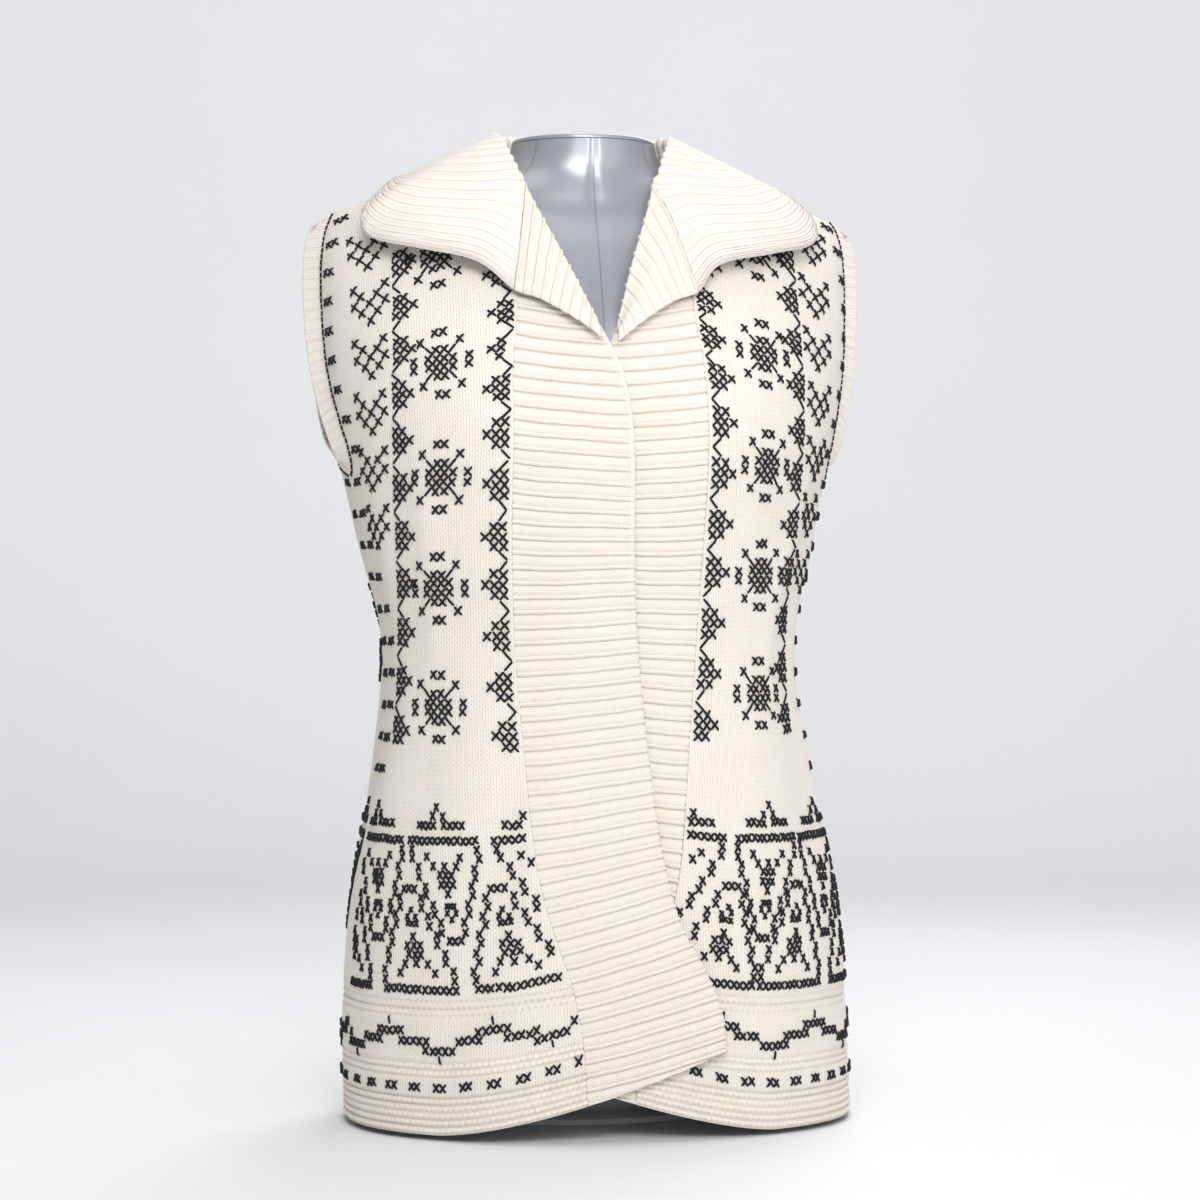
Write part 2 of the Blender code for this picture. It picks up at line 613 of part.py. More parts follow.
def form_ring(ring):
    """One ring of the form, counter-clockwise from the wearer's left."""
    points = []
    for i in range(FORM_SIDES):
        angle = 2 * math.pi * i / FORM_SIDES
        cosine, sine = math.cos(angle), math.sin(angle)
        x = ring.half * math.copysign(abs(cosine) ** (2 / ring.power), cosine)
        depth = ring.back if sine > 0 else ring.front
        y = depth * math.copysign(abs(sine) ** (2 / ring.power), sine)
        if y < 0:
            y -= bust_fullness(x, ring.z) * min(1.0, -BUST_EDGE * y / ring.front)
        points.append(Vector((x, y, ring.z)))
    return points


def solid_from_rings(name, rings):
    """A closed solid through rings of points, bottom to top."""
    mesh_data = bmesh.new()
    loops = [[mesh_data.verts.new(point) for point in ring] for ring in rings]
    for low, high in zip(loops, loops[1:]):
        for i in range(FORM_SIDES):
            k = (i + 1) % FORM_SIDES
            mesh_data.faces.new((low[i], low[k], high[k], high[i]))
    mesh_data.faces.new(list(reversed(loops[0])))
    mesh_data.faces.new(loops[-1])
    bmesh.ops.triangulate(mesh_data, faces=mesh_data.faces)
    return new_object(name, mesh_data, SILVER, 0.3, 0.3)


def build_form():
    """The torso, the disc that closes its neck and the foot it stands on."""
    solid_from_rings("form_torso", [form_ring(ring) for ring in FORM_RINGS])
    top = FORM_RINGS[-1]
    cap_low = top._replace(z=top.z + SEAM_GAP, half=top.half - CAP_INSET, front=top.front - CAP_INSET,
                           back=top.back - CAP_INSET)
    cap_high = cap_low._replace(z=cap_low.z + CAP_HEIGHT)
    solid_from_rings("form_neck_cap", [form_ring(cap_low), form_ring(cap_high)])
    foot = [(0.0, FOOT_HALF), (FOOT_PLATE, FOOT_HALF), (FOOT_PLATE + FOOT_STEP, FOOT_STEM),
            (FORM_RINGS[0].z - SEAM_GAP, FOOT_STEM)]
    rings = [form_ring(FormRing(z, half[0], half[1], half[1], 2.0)) for z, half in foot]
    back = Vector((0.0, FOOT_BACK, 0.0))
    solid_from_rings("form_foot", [[point + back for point in ring] for ring in rings])


def main():
    for piece in list(bpy.data.objects):
        bpy.data.objects.remove(piece, do_unlink=True)
    build_back("back")
    for word, side in (("right", -1.0), ("left", 1.0)):
        build_front(f"front_{word}", side)
        build_band(f"band_{word}", side)
        build_lapel(f"lapel_{word}", side)
        build_armband(f"armband_{word}", side)
    build_collar("collar")
    build_form()


main()
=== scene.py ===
# Cross-stitched sweater vest with ribbed bands and a pointed collar, on a dress form.
import math

import bpy
import numpy as np
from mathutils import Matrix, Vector


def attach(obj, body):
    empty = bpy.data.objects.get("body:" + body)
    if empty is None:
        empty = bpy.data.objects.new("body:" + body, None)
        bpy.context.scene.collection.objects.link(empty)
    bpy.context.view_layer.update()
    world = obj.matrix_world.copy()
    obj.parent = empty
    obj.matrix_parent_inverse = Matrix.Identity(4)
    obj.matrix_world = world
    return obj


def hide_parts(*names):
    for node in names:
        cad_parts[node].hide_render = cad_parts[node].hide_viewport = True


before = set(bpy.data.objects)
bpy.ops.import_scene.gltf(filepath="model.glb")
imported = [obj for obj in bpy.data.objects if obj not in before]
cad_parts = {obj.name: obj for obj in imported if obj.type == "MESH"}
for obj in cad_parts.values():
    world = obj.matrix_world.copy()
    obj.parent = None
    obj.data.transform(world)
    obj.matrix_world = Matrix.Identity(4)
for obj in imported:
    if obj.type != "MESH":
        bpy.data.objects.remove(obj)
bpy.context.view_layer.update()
print("frame loaded")

# the cloth's rows: height at the side, at the front and at the back centre,
# then the oval's reach to the side, front and back, and the sideways shift
bodyRows = np.array([
    (0.004, 0.004, 0.004, 0.1780, 0.1280, 0.1130, 0.0100),
    (0.039, 0.039, 0.039, 0.1775, 0.1270, 0.1140, 0.0090),
    (0.083, 0.083, 0.083, 0.1760, 0.1260, 0.1160, 0.0080),
    (0.126, 0.126, 0.126, 0.1735, 0.1240, 0.1170, 0.0075),
    (0.164, 0.164, 0.164, 0.1690, 0.1220, 0.1150, 0.0072),
    (0.195, 0.195, 0.195, 0.1630, 0.1190, 0.1110, 0.0062),
    (0.220, 0.220, 0.220, 0.1570, 0.1160, 0.1060, 0.0050),
    (0.262, 0.262, 0.262, 0.1500, 0.1120, 0.0970, 0.0042),
    (0.294, 0.294, 0.294, 0.1455, 0.1100, 0.0920, 0.0032),
    (0.325, 0.325, 0.325, 0.1440, 0.1100, 0.0900, 0.0028),
    (0.352, 0.352, 0.352, 0.1465, 0.1120, 0.0910, 0.0024),
    (0.389, 0.389, 0.389, 0.1555, 0.1175, 0.0950, 0.0010),
    (0.414, 0.414, 0.414, 0.1610, 0.1210, 0.0980, 0.0000),
    (0.445, 0.447, 0.446, 0.1680, 0.1240, 0.1010, 0.0000),
    (0.470, 0.478, 0.475, 0.1745, 0.1240, 0.1030, 0.0000),
    (0.495, 0.511, 0.508, 0.1790, 0.1200, 0.1040, 0.0000),
    (0.520, 0.544, 0.542, 0.1825, 0.1120, 0.1030, 0.0000),
    (0.545, 0.577, 0.577, 0.1845, 0.1005, 0.0980, 0.0000),
    (0.570, 0.608, 0.610, 0.1855, 0.0865, 0.0880, 0.0000),
    (0.592, 0.635, 0.638, 0.1855, 0.0710, 0.0740, 0.0000),
    (0.608, 0.654, 0.656, 0.1845, 0.0540, 0.0575, 0.0000),
    (0.618, 0.667, 0.668, 0.1825, 0.0360, 0.0385, 0.0000),
    (0.624, 0.6755, 0.6760, 0.1808, 0.0190, 0.0200, 0.0000),
    (0.626, 0.6800, 0.6800, 0.1800, 0.0000, 0.0000, 0.0000),
])

# the armhole's edge: row, degrees on the front and back, and how its ribbing turns
armRows = np.array([
    (0.4450, 80.0, 80.0, 0.30, 0.00),
    (0.4485, 78.0, 87.0, 0.32, 0.00),
    (0.4540, 77.0, 92.5, 0.36, 0.00),
    (0.4650, 76.8, 98.0, 0.46, 0.00),
    (0.4810, 78.6, 102.2, 0.60, 0.00),
    (0.5020, 81.4, 105.0, 0.78, 0.00),
    (0.5190, 82.8, 106.2, 0.90, 0.00),
    (0.5300, 83.4, 106.6, 0.97, 0.00),
    (0.5500, 84.0, 106.8, 1.10, 0.00),
    (0.5720, 84.0, 106.0, 1.15, 0.00),
    (0.5900, 83.6, 104.8, 1.05, 0.05),
    (0.6030, 83.0, 103.4, 0.85, 0.12),
    (0.6130, 82.2, 102.2, 0.60, 0.22),
    (0.6200, 81.0, 101.6, 0.35, 0.32),
    (0.6245, 79.4, 101.6, 0.18, 0.38),
    (0.6260, 78.0, 102.0, 0.12, 0.40),
])

# the front bands: row, seam, free edge and lean, as distances from the centre
bandRows = np.array([
    (0.004, 0.0165, -0.0770, 0.0),
    (0.035, 0.0180, -0.0755, 0.0),
    (0.060, 0.0205, -0.0700, 0.0),
    (0.090, 0.0255, -0.0600, 0.0),
    (0.115, 0.0325, -0.0500, 0.0),
    (0.140, 0.0400, -0.0425, 0.0),
    (0.170, 0.0470, -0.0365, 0.0),
    (0.210, 0.0520, -0.0310, 0.0),
    (0.260, 0.0560, -0.0260, 0.0),
    (0.320, 0.0610, -0.0205, 0.0),
    (0.400, 0.0650, -0.0155, 0.0),
    (0.470, 0.0655, -0.0135, 0.0),
    (0.495, 0.0650, -0.0075, 0.0),
    (0.508, 0.0640, 0.0000, 0.0),
    (0.519, 0.0620, 0.0065, -0.0006),
    (0.530, 0.0605, 0.0125, -0.0016),
    (0.550, 0.0595, 0.0215, -0.0030),
    (0.572, 0.0610, 0.0315, -0.0040),
    (0.590, 0.0635, 0.0395, -0.0045),
    (0.603, 0.0655, 0.0440, -0.0045),
])

# the front neckline above the bands, and the lapel's edge for each row of its fold
neckRows = np.array([(0.603, 0.0655), (0.613, 0.0670), (0.620, 0.0690), (0.626, 0.0700)])
lapelRows = np.array([
    (0.5190, 0.0060, 0.5100),
    (0.5300, 0.0180, 0.5180),
    (0.5500, 0.0330, 0.5270),
    (0.5720, 0.0460, 0.5340),
    (0.5900, 0.0555, 0.5375),
    (0.6030, 0.0615, 0.5400),
])

# the collar from the front round to the back centre: the inside of its stand, its
# roll and its edge, then how far it bulges between them and its sideways lean
collarRows = np.array([
    (0.0560, -0.0470, 0.6480, 0.0475, -0.0540, 0.6530, 0.0830, -0.1010, 0.5860, 0.0050, -0.0045),
    (0.0600, -0.0390, 0.6560, 0.0510, -0.0440, 0.6640, 0.1210, -0.0880, 0.5955, 0.0040, -0.0040),
    (0.0630, -0.0290, 0.6620, 0.0545, -0.0330, 0.6725, 0.1530, -0.0660, 0.6050, 0.0040, -0.0030),
    (0.0645, -0.0190, 0.6660, 0.0570, -0.0220, 0.6790, 0.1570, -0.0480, 0.6230, 0.0030, -0.0020),
    (0.0650, -0.0080, 0.6690, 0.0590, -0.0090, 0.6830, 0.1430, -0.0230, 0.6420, 0.0000, -0.0010),
    (0.0640, 0.0070, 0.6690, 0.0595, 0.0070, 0.6845, 0.1270, 0.0060, 0.6535, -0.0010, 0.0),
    (0.0590, 0.0250, 0.6660, 0.0555, 0.0250, 0.6865, 0.1110, 0.0400, 0.6480, 0.0010, 0.0),
    (0.0480, 0.0410, 0.6610, 0.0450, 0.0410, 0.6880, 0.0870, 0.0780, 0.6200, 0.0030, 0.0),
    (0.0270, 0.0520, 0.6570, 0.0250, 0.0520, 0.6890, 0.0450, 0.0955, 0.6040, 0.0050, 0.0),
    (0.0000, 0.0560, 0.6550, 0.0000, 0.0560, 0.6890, 0.0000, 0.0995, 0.5985, 0.0055, 0.0),
])

# the dress form's rings: height, half width, reach to the front and back, roundness
formRings = np.array([
    (0.0480, 0.0950, 0.0560, 0.0620, 2.2),
    (0.0500, 0.1200, 0.0740, 0.0780, 2.2),
    (0.0580, 0.1400, 0.0900, 0.0910, 2.2),
    (0.0750, 0.1505, 0.0970, 0.0980, 2.2),
    (0.1100, 0.1520, 0.0985, 0.1010, 2.2),
    (0.1700, 0.1450, 0.0960, 0.0980, 2.2),
    (0.2300, 0.1320, 0.0900, 0.0850, 2.2),
    (0.2800, 0.1235, 0.0850, 0.0755, 2.2),
    (0.3250, 0.1200, 0.0840, 0.0720, 2.2),
    (0.3700, 0.1270, 0.0890, 0.0760, 2.2),
    (0.4200, 0.1420, 0.1000, 0.0840, 2.2),
    (0.4600, 0.1530, 0.1065, 0.0900, 2.2),
    (0.5000, 0.1610, 0.1040, 0.0930, 2.2),
    (0.5400, 0.1660, 0.0960, 0.0930, 2.2),
    (0.5750, 0.1680, 0.0830, 0.0870, 2.2),
    (0.6000, 0.1670, 0.0710, 0.0760, 2.2),
    (0.6160, 0.1645, 0.0620, 0.0660, 2.1),
    (0.6275, 0.1560, 0.0560, 0.0600, 2.0),
    (0.6400, 0.1310, 0.0525, 0.0560, 1.9),
    (0.6500, 0.0990, 0.0495, 0.0500, 1.8),
    (0.6570, 0.0690, 0.0485, 0.0495, 1.8),
    (0.6640, 0.0555, 0.0480, 0.0505, 2.0),
    (0.6700, 0.0515, 0.0480, 0.0500, 2.0),
    (0.6767, 0.0505, 0.0480, 0.0500, 2.0),
])

# how the cloth hangs on the form
cloth = {
    "wall": 0.0027,            # thickness of the knitting
    "hemLevel": 0.004,
    "gorgeLevel": 0.603,       # where the bands end and the collar starts
    "shoulderLevel": 0.626,
    "sideSeam": 80.0,          # degrees round from the front centre
    "roundness": 2.3,
    "tiltPower": 1.4,
    "seamGap": 0.0003,
    "seamShow": 0.00002,       # what shows of it between two pieces sewn edge to edge
    "overOffset": 0.0044,      # the upper front's height where the fronts cross
    "underOffset": -0.0014,
    "crossFade": 0.045,
    "hemRise": 0.055,          # how much higher the hem is at the free edges
    "riseFrom": 0.115,
    "riseSpan": 0.190,
    "riseFade": 0.31,
    "chestRise": 0.010,
    "chestPlace": (0.078, 0.472, 0.052),
    "neckHalf": 0.070,
    "neckDrop": 0.024,
    "neckBlend": 0.013,
}


def smoothAt(table, at):
    # smooth values at the given places of a table whose first column is the place
    keys, values = table[:, 0], table[:, 1:]
    count = len(keys)
    at = np.clip(np.asarray(at, float), keys[0], keys[-1])
    low = np.clip(np.searchsorted(keys, at, side="right") - 1, 0, count - 2)
    before = np.maximum(np.arange(count) - 1, 0)
    after = np.minimum(np.arange(count) + 1, count - 1)
    slopes = (values[after] - values[before]) / (keys[after] - keys[before])[:, None]
    span = (keys[low + 1] - keys[low])[..., None]
    t = (at - keys[low])[..., None] / span
    rest = 1 - t
    start = values[low] * (1 + 2 * t) * rest**2 + slopes[low] * span * t * rest**2
    end = values[low + 1] * (1 + 2 * rest) * t**2 - slopes[low + 1] * span * rest * t**2
    return start + end


def ease(t):
    t = np.clip(t, 0, 1)
    return t * t * (3 - 2 * t)


def unit(vectors):
    return vectors / np.maximum(np.linalg.norm(vectors, axis=-1, keepdims=True), 1e-9)


def chestFullness(x, z):
    placeX, placeZ, radius = cloth["chestPlace"]
    return cloth["chestRise"] * np.exp(-((np.abs(x) - placeX)**2 + (z - placeZ)**2) / radius**2)


def clothPoint(side, degrees, level):
    # a point on the vest's outer face; degrees run from the front centre to the back
    side, degrees, level = np.broadcast_arrays(side, degrees, level)
    frontZ, backZ, half, front, back, shift = np.moveaxis(smoothAt(bodyRows, level), -1, 0)
    sine = np.sin(np.radians(degrees))
    inFront = degrees < 90
    x = side * half * sine
    centreZ = np.where(inFront, frontZ, backZ)
    z = centreZ - (centreZ - level) * np.abs(sine)**cloth["tiltPower"]
    reach = np.maximum(0, 1 - np.abs(sine)**cloth["roundness"])**(1 / cloth["roundness"])
    chest = chestFullness(x, z) * np.minimum(1, 3 * reach)
    y = np.where(inFront, -front * reach - chest, back * reach)
    return np.stack([x + shift, y, z], -1)


def clothNormal(side, degrees, level):
    side, degrees, level = np.broadcast_arrays(side, degrees, level)
    turn, step = 0.5, 0.0006
    across = clothPoint(side, degrees + turn, level) - clothPoint(side, degrees - turn, level)
    low, high = np.maximum(level - step, cloth["hemLevel"]), level + step
    up = clothPoint(side, degrees, high) - clothPoint(side, degrees, low)
    normal = unit(np.cross(across, up) * side[..., None])
    flat = np.stack([-across[..., 2], 0 * across[..., 1], across[..., 0]], -1)
    flat = unit(flat * np.where(flat[..., 2:] < 0, -1, 1))
    top = level >= cloth["shoulderLevel"] - 1e-6
    return np.where(top[..., None], flat, normal)


def crossing(ownX, level):
    # 1 where the two fronts lie over each other, fading to 0 beside it
    reach = np.maximum(0, -smoothAt(bandRows, level)[..., 1])
    return 1 - ease((np.abs(ownX) - reach) / cloth["crossFade"])


def hemRise(ownX, level):
    share = np.maximum(0, (cloth["riseFrom"] - ownX) / cloth["riseSpan"])
    fade = np.maximum(0, 1 - level / cloth["riseFade"])**1.5
    return cloth["hemRise"] * share**1.4 * fade


def frontPlace(side, degrees, level):
    # a front's outer point and normal, with its layer and its drawn-up hem
    side, degrees, level = np.broadcast_arrays(side, degrees, level)
    point, normal = clothPoint(side, degrees, level), clothNormal(side, degrees, level)
    ownX = side * point[..., 0]
    over = np.where(side < 0, cloth["overOffset"], cloth["underOffset"])
    point = point + normal * (over * crossing(ownX, level))[..., None]
    point[..., 2] += hemRise(ownX, level)
    return point, normal


def degreesAt(side, ownX, level):
    row = smoothAt(bodyRows, level)
    return np.degrees(np.arcsin(np.clip((ownX - side * row[..., 5]) / row[..., 2], -1, 1)))


def freeEdge(side, level):
    row = smoothAt(bandRows, level)
    return row[..., 1] + side * row[..., 2]


def edgeGap(level):
    return np.degrees(cloth["seamShow"] / 2 / (0.6 * smoothAt(bodyRows, level)[..., 2]))


def armEdge(level, which):
    # the armhole's edge in degrees; below the armhole it is the side seam
    edge = smoothAt(armRows, level)[..., which]
    return np.where(level <= armRows[0, 0], cloth["sideSeam"], edge)


def unevenness(across, up, seed, size):
    # soft unevenness of hand knitting and of cloth that hangs, in metres
    total = 0
    random = np.random.default_rng(seed)
    for wave in (0.11, 0.067, 0.038, 0.021):
        turn, phase = random.uniform(0, math.pi), random.uniform(0, 6.28, 2)
        first = (across * math.cos(turn) + up * math.sin(turn)) * 6.283 / wave + phase[0]
        second = (up * math.cos(turn) - across * math.sin(turn)) * 6.283 / wave * 0.7 + phase[1]
        total = total + np.sin(first) * np.cos(second) * wave
    return total / 0.16 * size


# soft creases: degrees, level, width in degrees, height, depth in metres
creases = [
    (53, 0.385, 5, 0.080, 0.0022),
    (71, 0.375, 6, 0.075, 0.0024),
    (38, 0.235, 7, 0.060, 0.0012),
    (57, 0.215, 6, 0.070, -0.0016),
    (71, 0.240, 6, 0.080, 0.0018),
    (92, 0.225, 8, 0.075, -0.0022),
    (109, 0.230, 8, 0.080, 0.0020),
    (128, 0.215, 9, 0.085, -0.0020),
    (147, 0.235, 9, 0.080, 0.0018),
    (166, 0.220, 9, 0.090, -0.0014),
    (66, 0.090, 8, 0.070, 0.0014),
    (118, 0.085, 10, 0.070, 0.0016),
    (152, 0.090, 10, 0.075, -0.0012),
]


def creaseDepth(side, degrees, level):
    total = 0
    for place, height, width, reach, depth in creases:
        lean = place + side * 2.5 + (level - height) * 60 * side
        bump = np.exp(-((degrees - lean) / width)**2 - ((level - height) / reach)**2)
        total = total + depth * (1 + 0.25 * side * math.sin(place)) * bump
    return total


def clothLevels(low, high, stepAt, degrees=40.0):
    # rows of a piece, closer together where stepAt asks for it, and their run in metres
    dense = np.linspace(low, high, 4000)
    steps = np.linalg.norm(np.diff(clothPoint(1.0, degrees, dense), axis=0), axis=1)
    run = np.r_[0, np.cumsum(steps)]
    share = np.r_[0, np.cumsum(steps / stepAt((dense[1:] + dense[:-1]) / 2))]
    runs = np.interp(np.linspace(0, share[-1], int(round(share[-1])) + 1), share, run)
    runs = np.r_[0, edgeRound["inset"], runs[1:-1], run[-1] - edgeRound["inset"], run[-1]]
    return np.interp(runs, run, dense), runs


def shareLine(count, width):
    # shares across a piece, with a line close to each edge so that the edge can be rounded
    inset = edgeRound["inset"] / width
    return np.r_[0, np.linspace(inset, 1 - inset, count), 1]


edgeRound = {
    "inset": 0.0008,       # how far in the rounding reaches
    "free": 0.36,          # share of the wall rounded off at a free edge
    "seam": 0.03,          # and at a seam
}


def walled(base, normals, relief, edges, wall=None):
    # the two faces of a wall; edges says how round its first and last row and column are
    wall = wall or cloth["wall"]
    weight = np.zeros(base.shape[:2])
    firstRow, lastRow, firstColumn, lastColumn = edges
    weight[0], weight[-1] = firstRow, lastRow
    weight[:, 0] = np.maximum(weight[:, 0], firstColumn)
    weight[:, -1] = np.maximum(weight[:, -1], lastColumn)
    outer = base + normals * (relief - weight * wall)[..., None]
    inner = base - normals * (wall * (1 - weight))[..., None]
    return outer, inner


def meshObject(name, points, faces, uvs=None, grooveShade=None):
    mesh = bpy.data.meshes.new(name)
    mesh.from_pydata(points.tolist(), [], faces if isinstance(faces, list) else faces.tolist())
    if uvs is not None:
        corners = np.zeros(len(mesh.loops), np.int32)
        mesh.loops.foreach_get("vertex_index", corners)
        layer = mesh.uv_layers.new(name="knitMap")
        layer.data.foreach_set("uv", uvs[corners].astype(np.float32).ravel())
    # painted shade: how dark each point is drawn in the grooves between ridges and ribs
    if grooveShade is not None:
        shade = mesh.attributes.new("grooveShade", "FLOAT", "POINT")
        shade.data.foreach_set("value", grooveShade.astype(np.float32).ravel())
    mesh.shade_smooth()
    piece = bpy.data.objects.new(name, mesh)
    bpy.context.scene.collection.objects.link(piece)
    return piece


def shellPiece(name, outer, inner, uvs, grooveShade, ring=False):
    # a closed wall between two grids of points; a ring joins its last row to its first
    rows, columns = outer.shape[:2]
    o = np.arange(rows * columns).reshape(rows, columns)
    n = o + rows * columns
    if ring:
        o, n = np.vstack([o, o[:1]]), np.vstack([n, n[:1]])
    quads = [
        (o[:-1, :-1], o[:-1, 1:], o[1:, 1:], o[1:, :-1]),
        (n[:-1, :-1], n[1:, :-1], n[1:, 1:], n[:-1, 1:]),
        (o[:-1, 0], o[1:, 0], n[1:, 0], n[:-1, 0]),
        (o[1:, -1], o[:-1, -1], n[:-1, -1], n[1:, -1]),
    ]
    if not ring:
        quads += [
            (o[0, 1:], o[0, :-1], n[0, :-1], n[0, 1:]),
            (o[-1, :-1], o[-1, 1:], n[-1, 1:], n[-1, :-1]),
        ]
    faces = np.concatenate([np.stack([np.ravel(x) for x in quad], -1) for quad in quads])
    points = np.concatenate([outer.reshape(-1, 3), inner.reshape(-1, 3)])
    a, b, c, d = (points[faces[:, k]] for k in range(4))
    volume = np.einsum("ij,ij->", a, np.cross(b, c) + np.cross(c, d))
    if volume < 0:
        faces = faces[:, ::-1]
    flatUvs = uvs.reshape(-1, 2)
    shades = np.broadcast_to(grooveShade, outer.shape[:2]).ravel()
    return meshObject(name, points, faces, np.concatenate([flatUvs, flatUvs]), np.tile(shades, 2))


# arc lengths round the cloth, so that knitting and embroidery keep their real size
arcDegrees = np.linspace(0, 180, 361)
arcLevels = np.linspace(cloth["hemLevel"], cloth["shoulderLevel"], 312)
arcPoints = clothPoint(1.0, arcDegrees[None], arcLevels[:, None])
arcTable = np.cumsum(np.linalg.norm(np.diff(arcPoints, axis=1), axis=2), axis=1)
arcTable = np.hstack([np.zeros((len(arcLevels), 1)), arcTable])


def arcAt(degrees, level):
    degrees, level = np.broadcast_arrays(degrees, level)
    row = (level - arcLevels[0]) / (arcLevels[1] - arcLevels[0])
    row = np.clip(row, 0, len(arcLevels) - 1.001)
    column = np.clip(degrees * 2, 0, len(arcDegrees) - 1.001)
    i, j = row.astype(int), column.astype(int)
    u, v = row - i, column - j
    near = arcTable[i, j] * (1 - v) + arcTable[i, j + 1] * v
    far = arcTable[i + 1, j] * (1 - v) + arcTable[i + 1, j + 1] * v
    return near * (1 - u) + far * u


def degreesAtArc(arc, level):
    row = np.clip((level - arcLevels[0]) / (arcLevels[1] - arcLevels[0]), 0, len(arcLevels) - 1.001)
    i = int(row)
    near, far = (np.interp(arc, arcTable[k], arcDegrees) for k in (i, i + 1))
    return near + (far - near) * (row - i)


garter = {
    "zones": [(0.0045, 0.0285), (0.0420, 0.0515), (0.0820, 0.0925)],
    "pitch": 0.0048,
    "depth": 0.0027,
    "rowStep": 0.0009,
    "fieldStep": 0.0032,
}


def garterDepth(level):
    # purl ridges in the hem and in the two welts above it
    depth = np.zeros(np.shape(level))
    for low, high in garter["zones"]:
        ridges = round((high - low) / garter["pitch"])
        phase = (level - low) / (high - low) * ridges
        ridge = np.abs(np.sin(math.pi * phase))**0.7
        inside = (level >= low) & (level <= high)
        depth = np.where(inside, garter["depth"] * (ridge - 1) - 0.0001, depth)
        beside = np.minimum(np.abs(level - low), np.abs(level - high))
        groove = -0.0009 * np.exp(-(beside / 0.0012)**2)
        depth = np.where(inside, depth, depth + groove)
    return depth


def garterShade(level):
    # painted shade: 1 down in the grooves between purl ridges
    shade = np.zeros(np.shape(level))
    for low, high in garter["zones"]:
        ridges = round((high - low) / garter["pitch"])
        phase = (level - low) / (high - low) * ridges
        inside = (level > low - 0.0022) & (level < high + 0.0008)
        shade = np.where(inside, 1 - np.abs(np.sin(math.pi * phase))**0.5, shade)
    return shade


def panelStep(level):
    step = np.full(np.shape(level), garter["fieldStep"])
    for low, high in garter["zones"]:
        step = np.where((level > low - 0.003) & (level < high + 0.003), garter["rowStep"], step)
    return step


def panelPlace(side, degrees, level, back=False):
    # a panel's finished outer surface: creases, ridges and unevenness
    if back:
        point, normal = clothPoint(side, degrees, level), clothNormal(side, degrees, level)
    else:
        point, normal = frontPlace(side, degrees, level)
    across = arcAt(degrees, level) * side
    relief = garterDepth(level) + unevenness(across, level, 11, 0.00035) - 0.0004
    return point + normal * creaseDepth(side, degrees, level)[..., None], normal, relief


frontPanel = {"columns": 64, "width": 0.19, "names": {-1: "rightFront", 1: "leftFront"}}


def makeFront(side):
    level, run = clothLevels(cloth["hemLevel"], cloth["shoulderLevel"], panelStep)
    seam = smoothAt(bandRows, level)[:, 0]
    neck = smoothAt(neckRows, level)[:, 0]
    innerX = np.where(level < cloth["gorgeLevel"], seam, neck)
    first = degreesAt(side, innerX, level) + edgeGap(level)
    last = armEdge(level, 0) - edgeGap(level)
    share = shareLine(frontPanel["columns"], frontPanel["width"])
    degrees = first[:, None] + (last - first)[:, None] * share
    levels = np.broadcast_to(level[:, None], degrees.shape)
    base, normal, relief = panelPlace(float(side), degrees, levels)
    base[..., 1] -= np.where(levels >= cloth["shoulderLevel"] - 1e-6, cloth["seamGap"] / 2, 0)
    free, seamed = edgeRound["free"], edgeRound["seam"]
    outer, inner = walled(base, normal, relief, (free, seamed, seamed, seamed))
    uvs = np.stack([arcAt(degrees, levels) * side, np.broadcast_to(run[:, None], degrees.shape)], -1)
    return shellPiece(frontPanel["names"][side], outer, inner, uvs, garterShade(levels)), level


backPanel = {"name": "backPanel", "shoulderColumns": 34, "neckColumns": 52, "width": 0.42}


def makeBack():
    level, run = clothLevels(cloth["hemLevel"], cloth["shoulderLevel"], panelStep, 140.0)
    topEdge = float(armEdge(np.array(cloth["shoulderLevel"]), 1))
    corner = 180 - float(degreesAt(1.0, cloth["neckHalf"], np.array(cloth["shoulderLevel"])))
    corner = (corner - topEdge) / (360 - 2 * topEdge)
    inset = edgeRound["inset"] / backPanel["width"]
    flank = np.r_[0, np.linspace(inset, corner, backPanel["shoulderColumns"])]
    turn = np.linspace(0, 1, backPanel["neckColumns"] + 1)
    middle = 0.45 * (2 * turn - 1) - 0.55 * np.cos(math.pi * turn)
    share = np.r_[flank[:-1], 0.5 + (0.5 - corner) * middle, 1 - flank[-2::-1]]
    across = (share - 0.5) / (0.5 - corner)
    split = cloth["gorgeLevel"] - cloth["neckBlend"]
    top = cloth["shoulderLevel"] - cloth["neckDrop"] * np.sqrt(np.maximum(0, 1 - across**2))
    raised = np.clip((level - split) / (cloth["shoulderLevel"] - split), 0, 1)
    dipped = split + raised[:, None] * (top - split)
    under = (level[:, None] > split) & (np.abs(across) < 1)
    levels = np.where(under, dipped, level[:, None])
    start = armEdge(levels, 1) + edgeGap(levels)
    degrees = start + (360 - 2 * start) * share
    side = np.where(degrees > 180, -1.0, 1.0)
    degrees = np.where(degrees > 180, 360 - degrees, degrees)
    base, normal, relief = panelPlace(side, degrees, levels, back=True)
    base[..., 1] += np.where(levels >= cloth["shoulderLevel"] - 1e-6, cloth["seamGap"] / 2, 0)
    free, seamed = edgeRound["free"], edgeRound["seam"]
    outer, inner = walled(base, normal, relief, (free, seamed, seamed, seamed))
    arc = (arcAt(180.0, levels) - arcAt(degrees, levels)) * side
    uvs = np.stack([arc, np.broadcast_to(run[:, None], degrees.shape)], -1)
    return shellPiece(backPanel["name"], outer, inner, uvs, garterShade(levels)), level


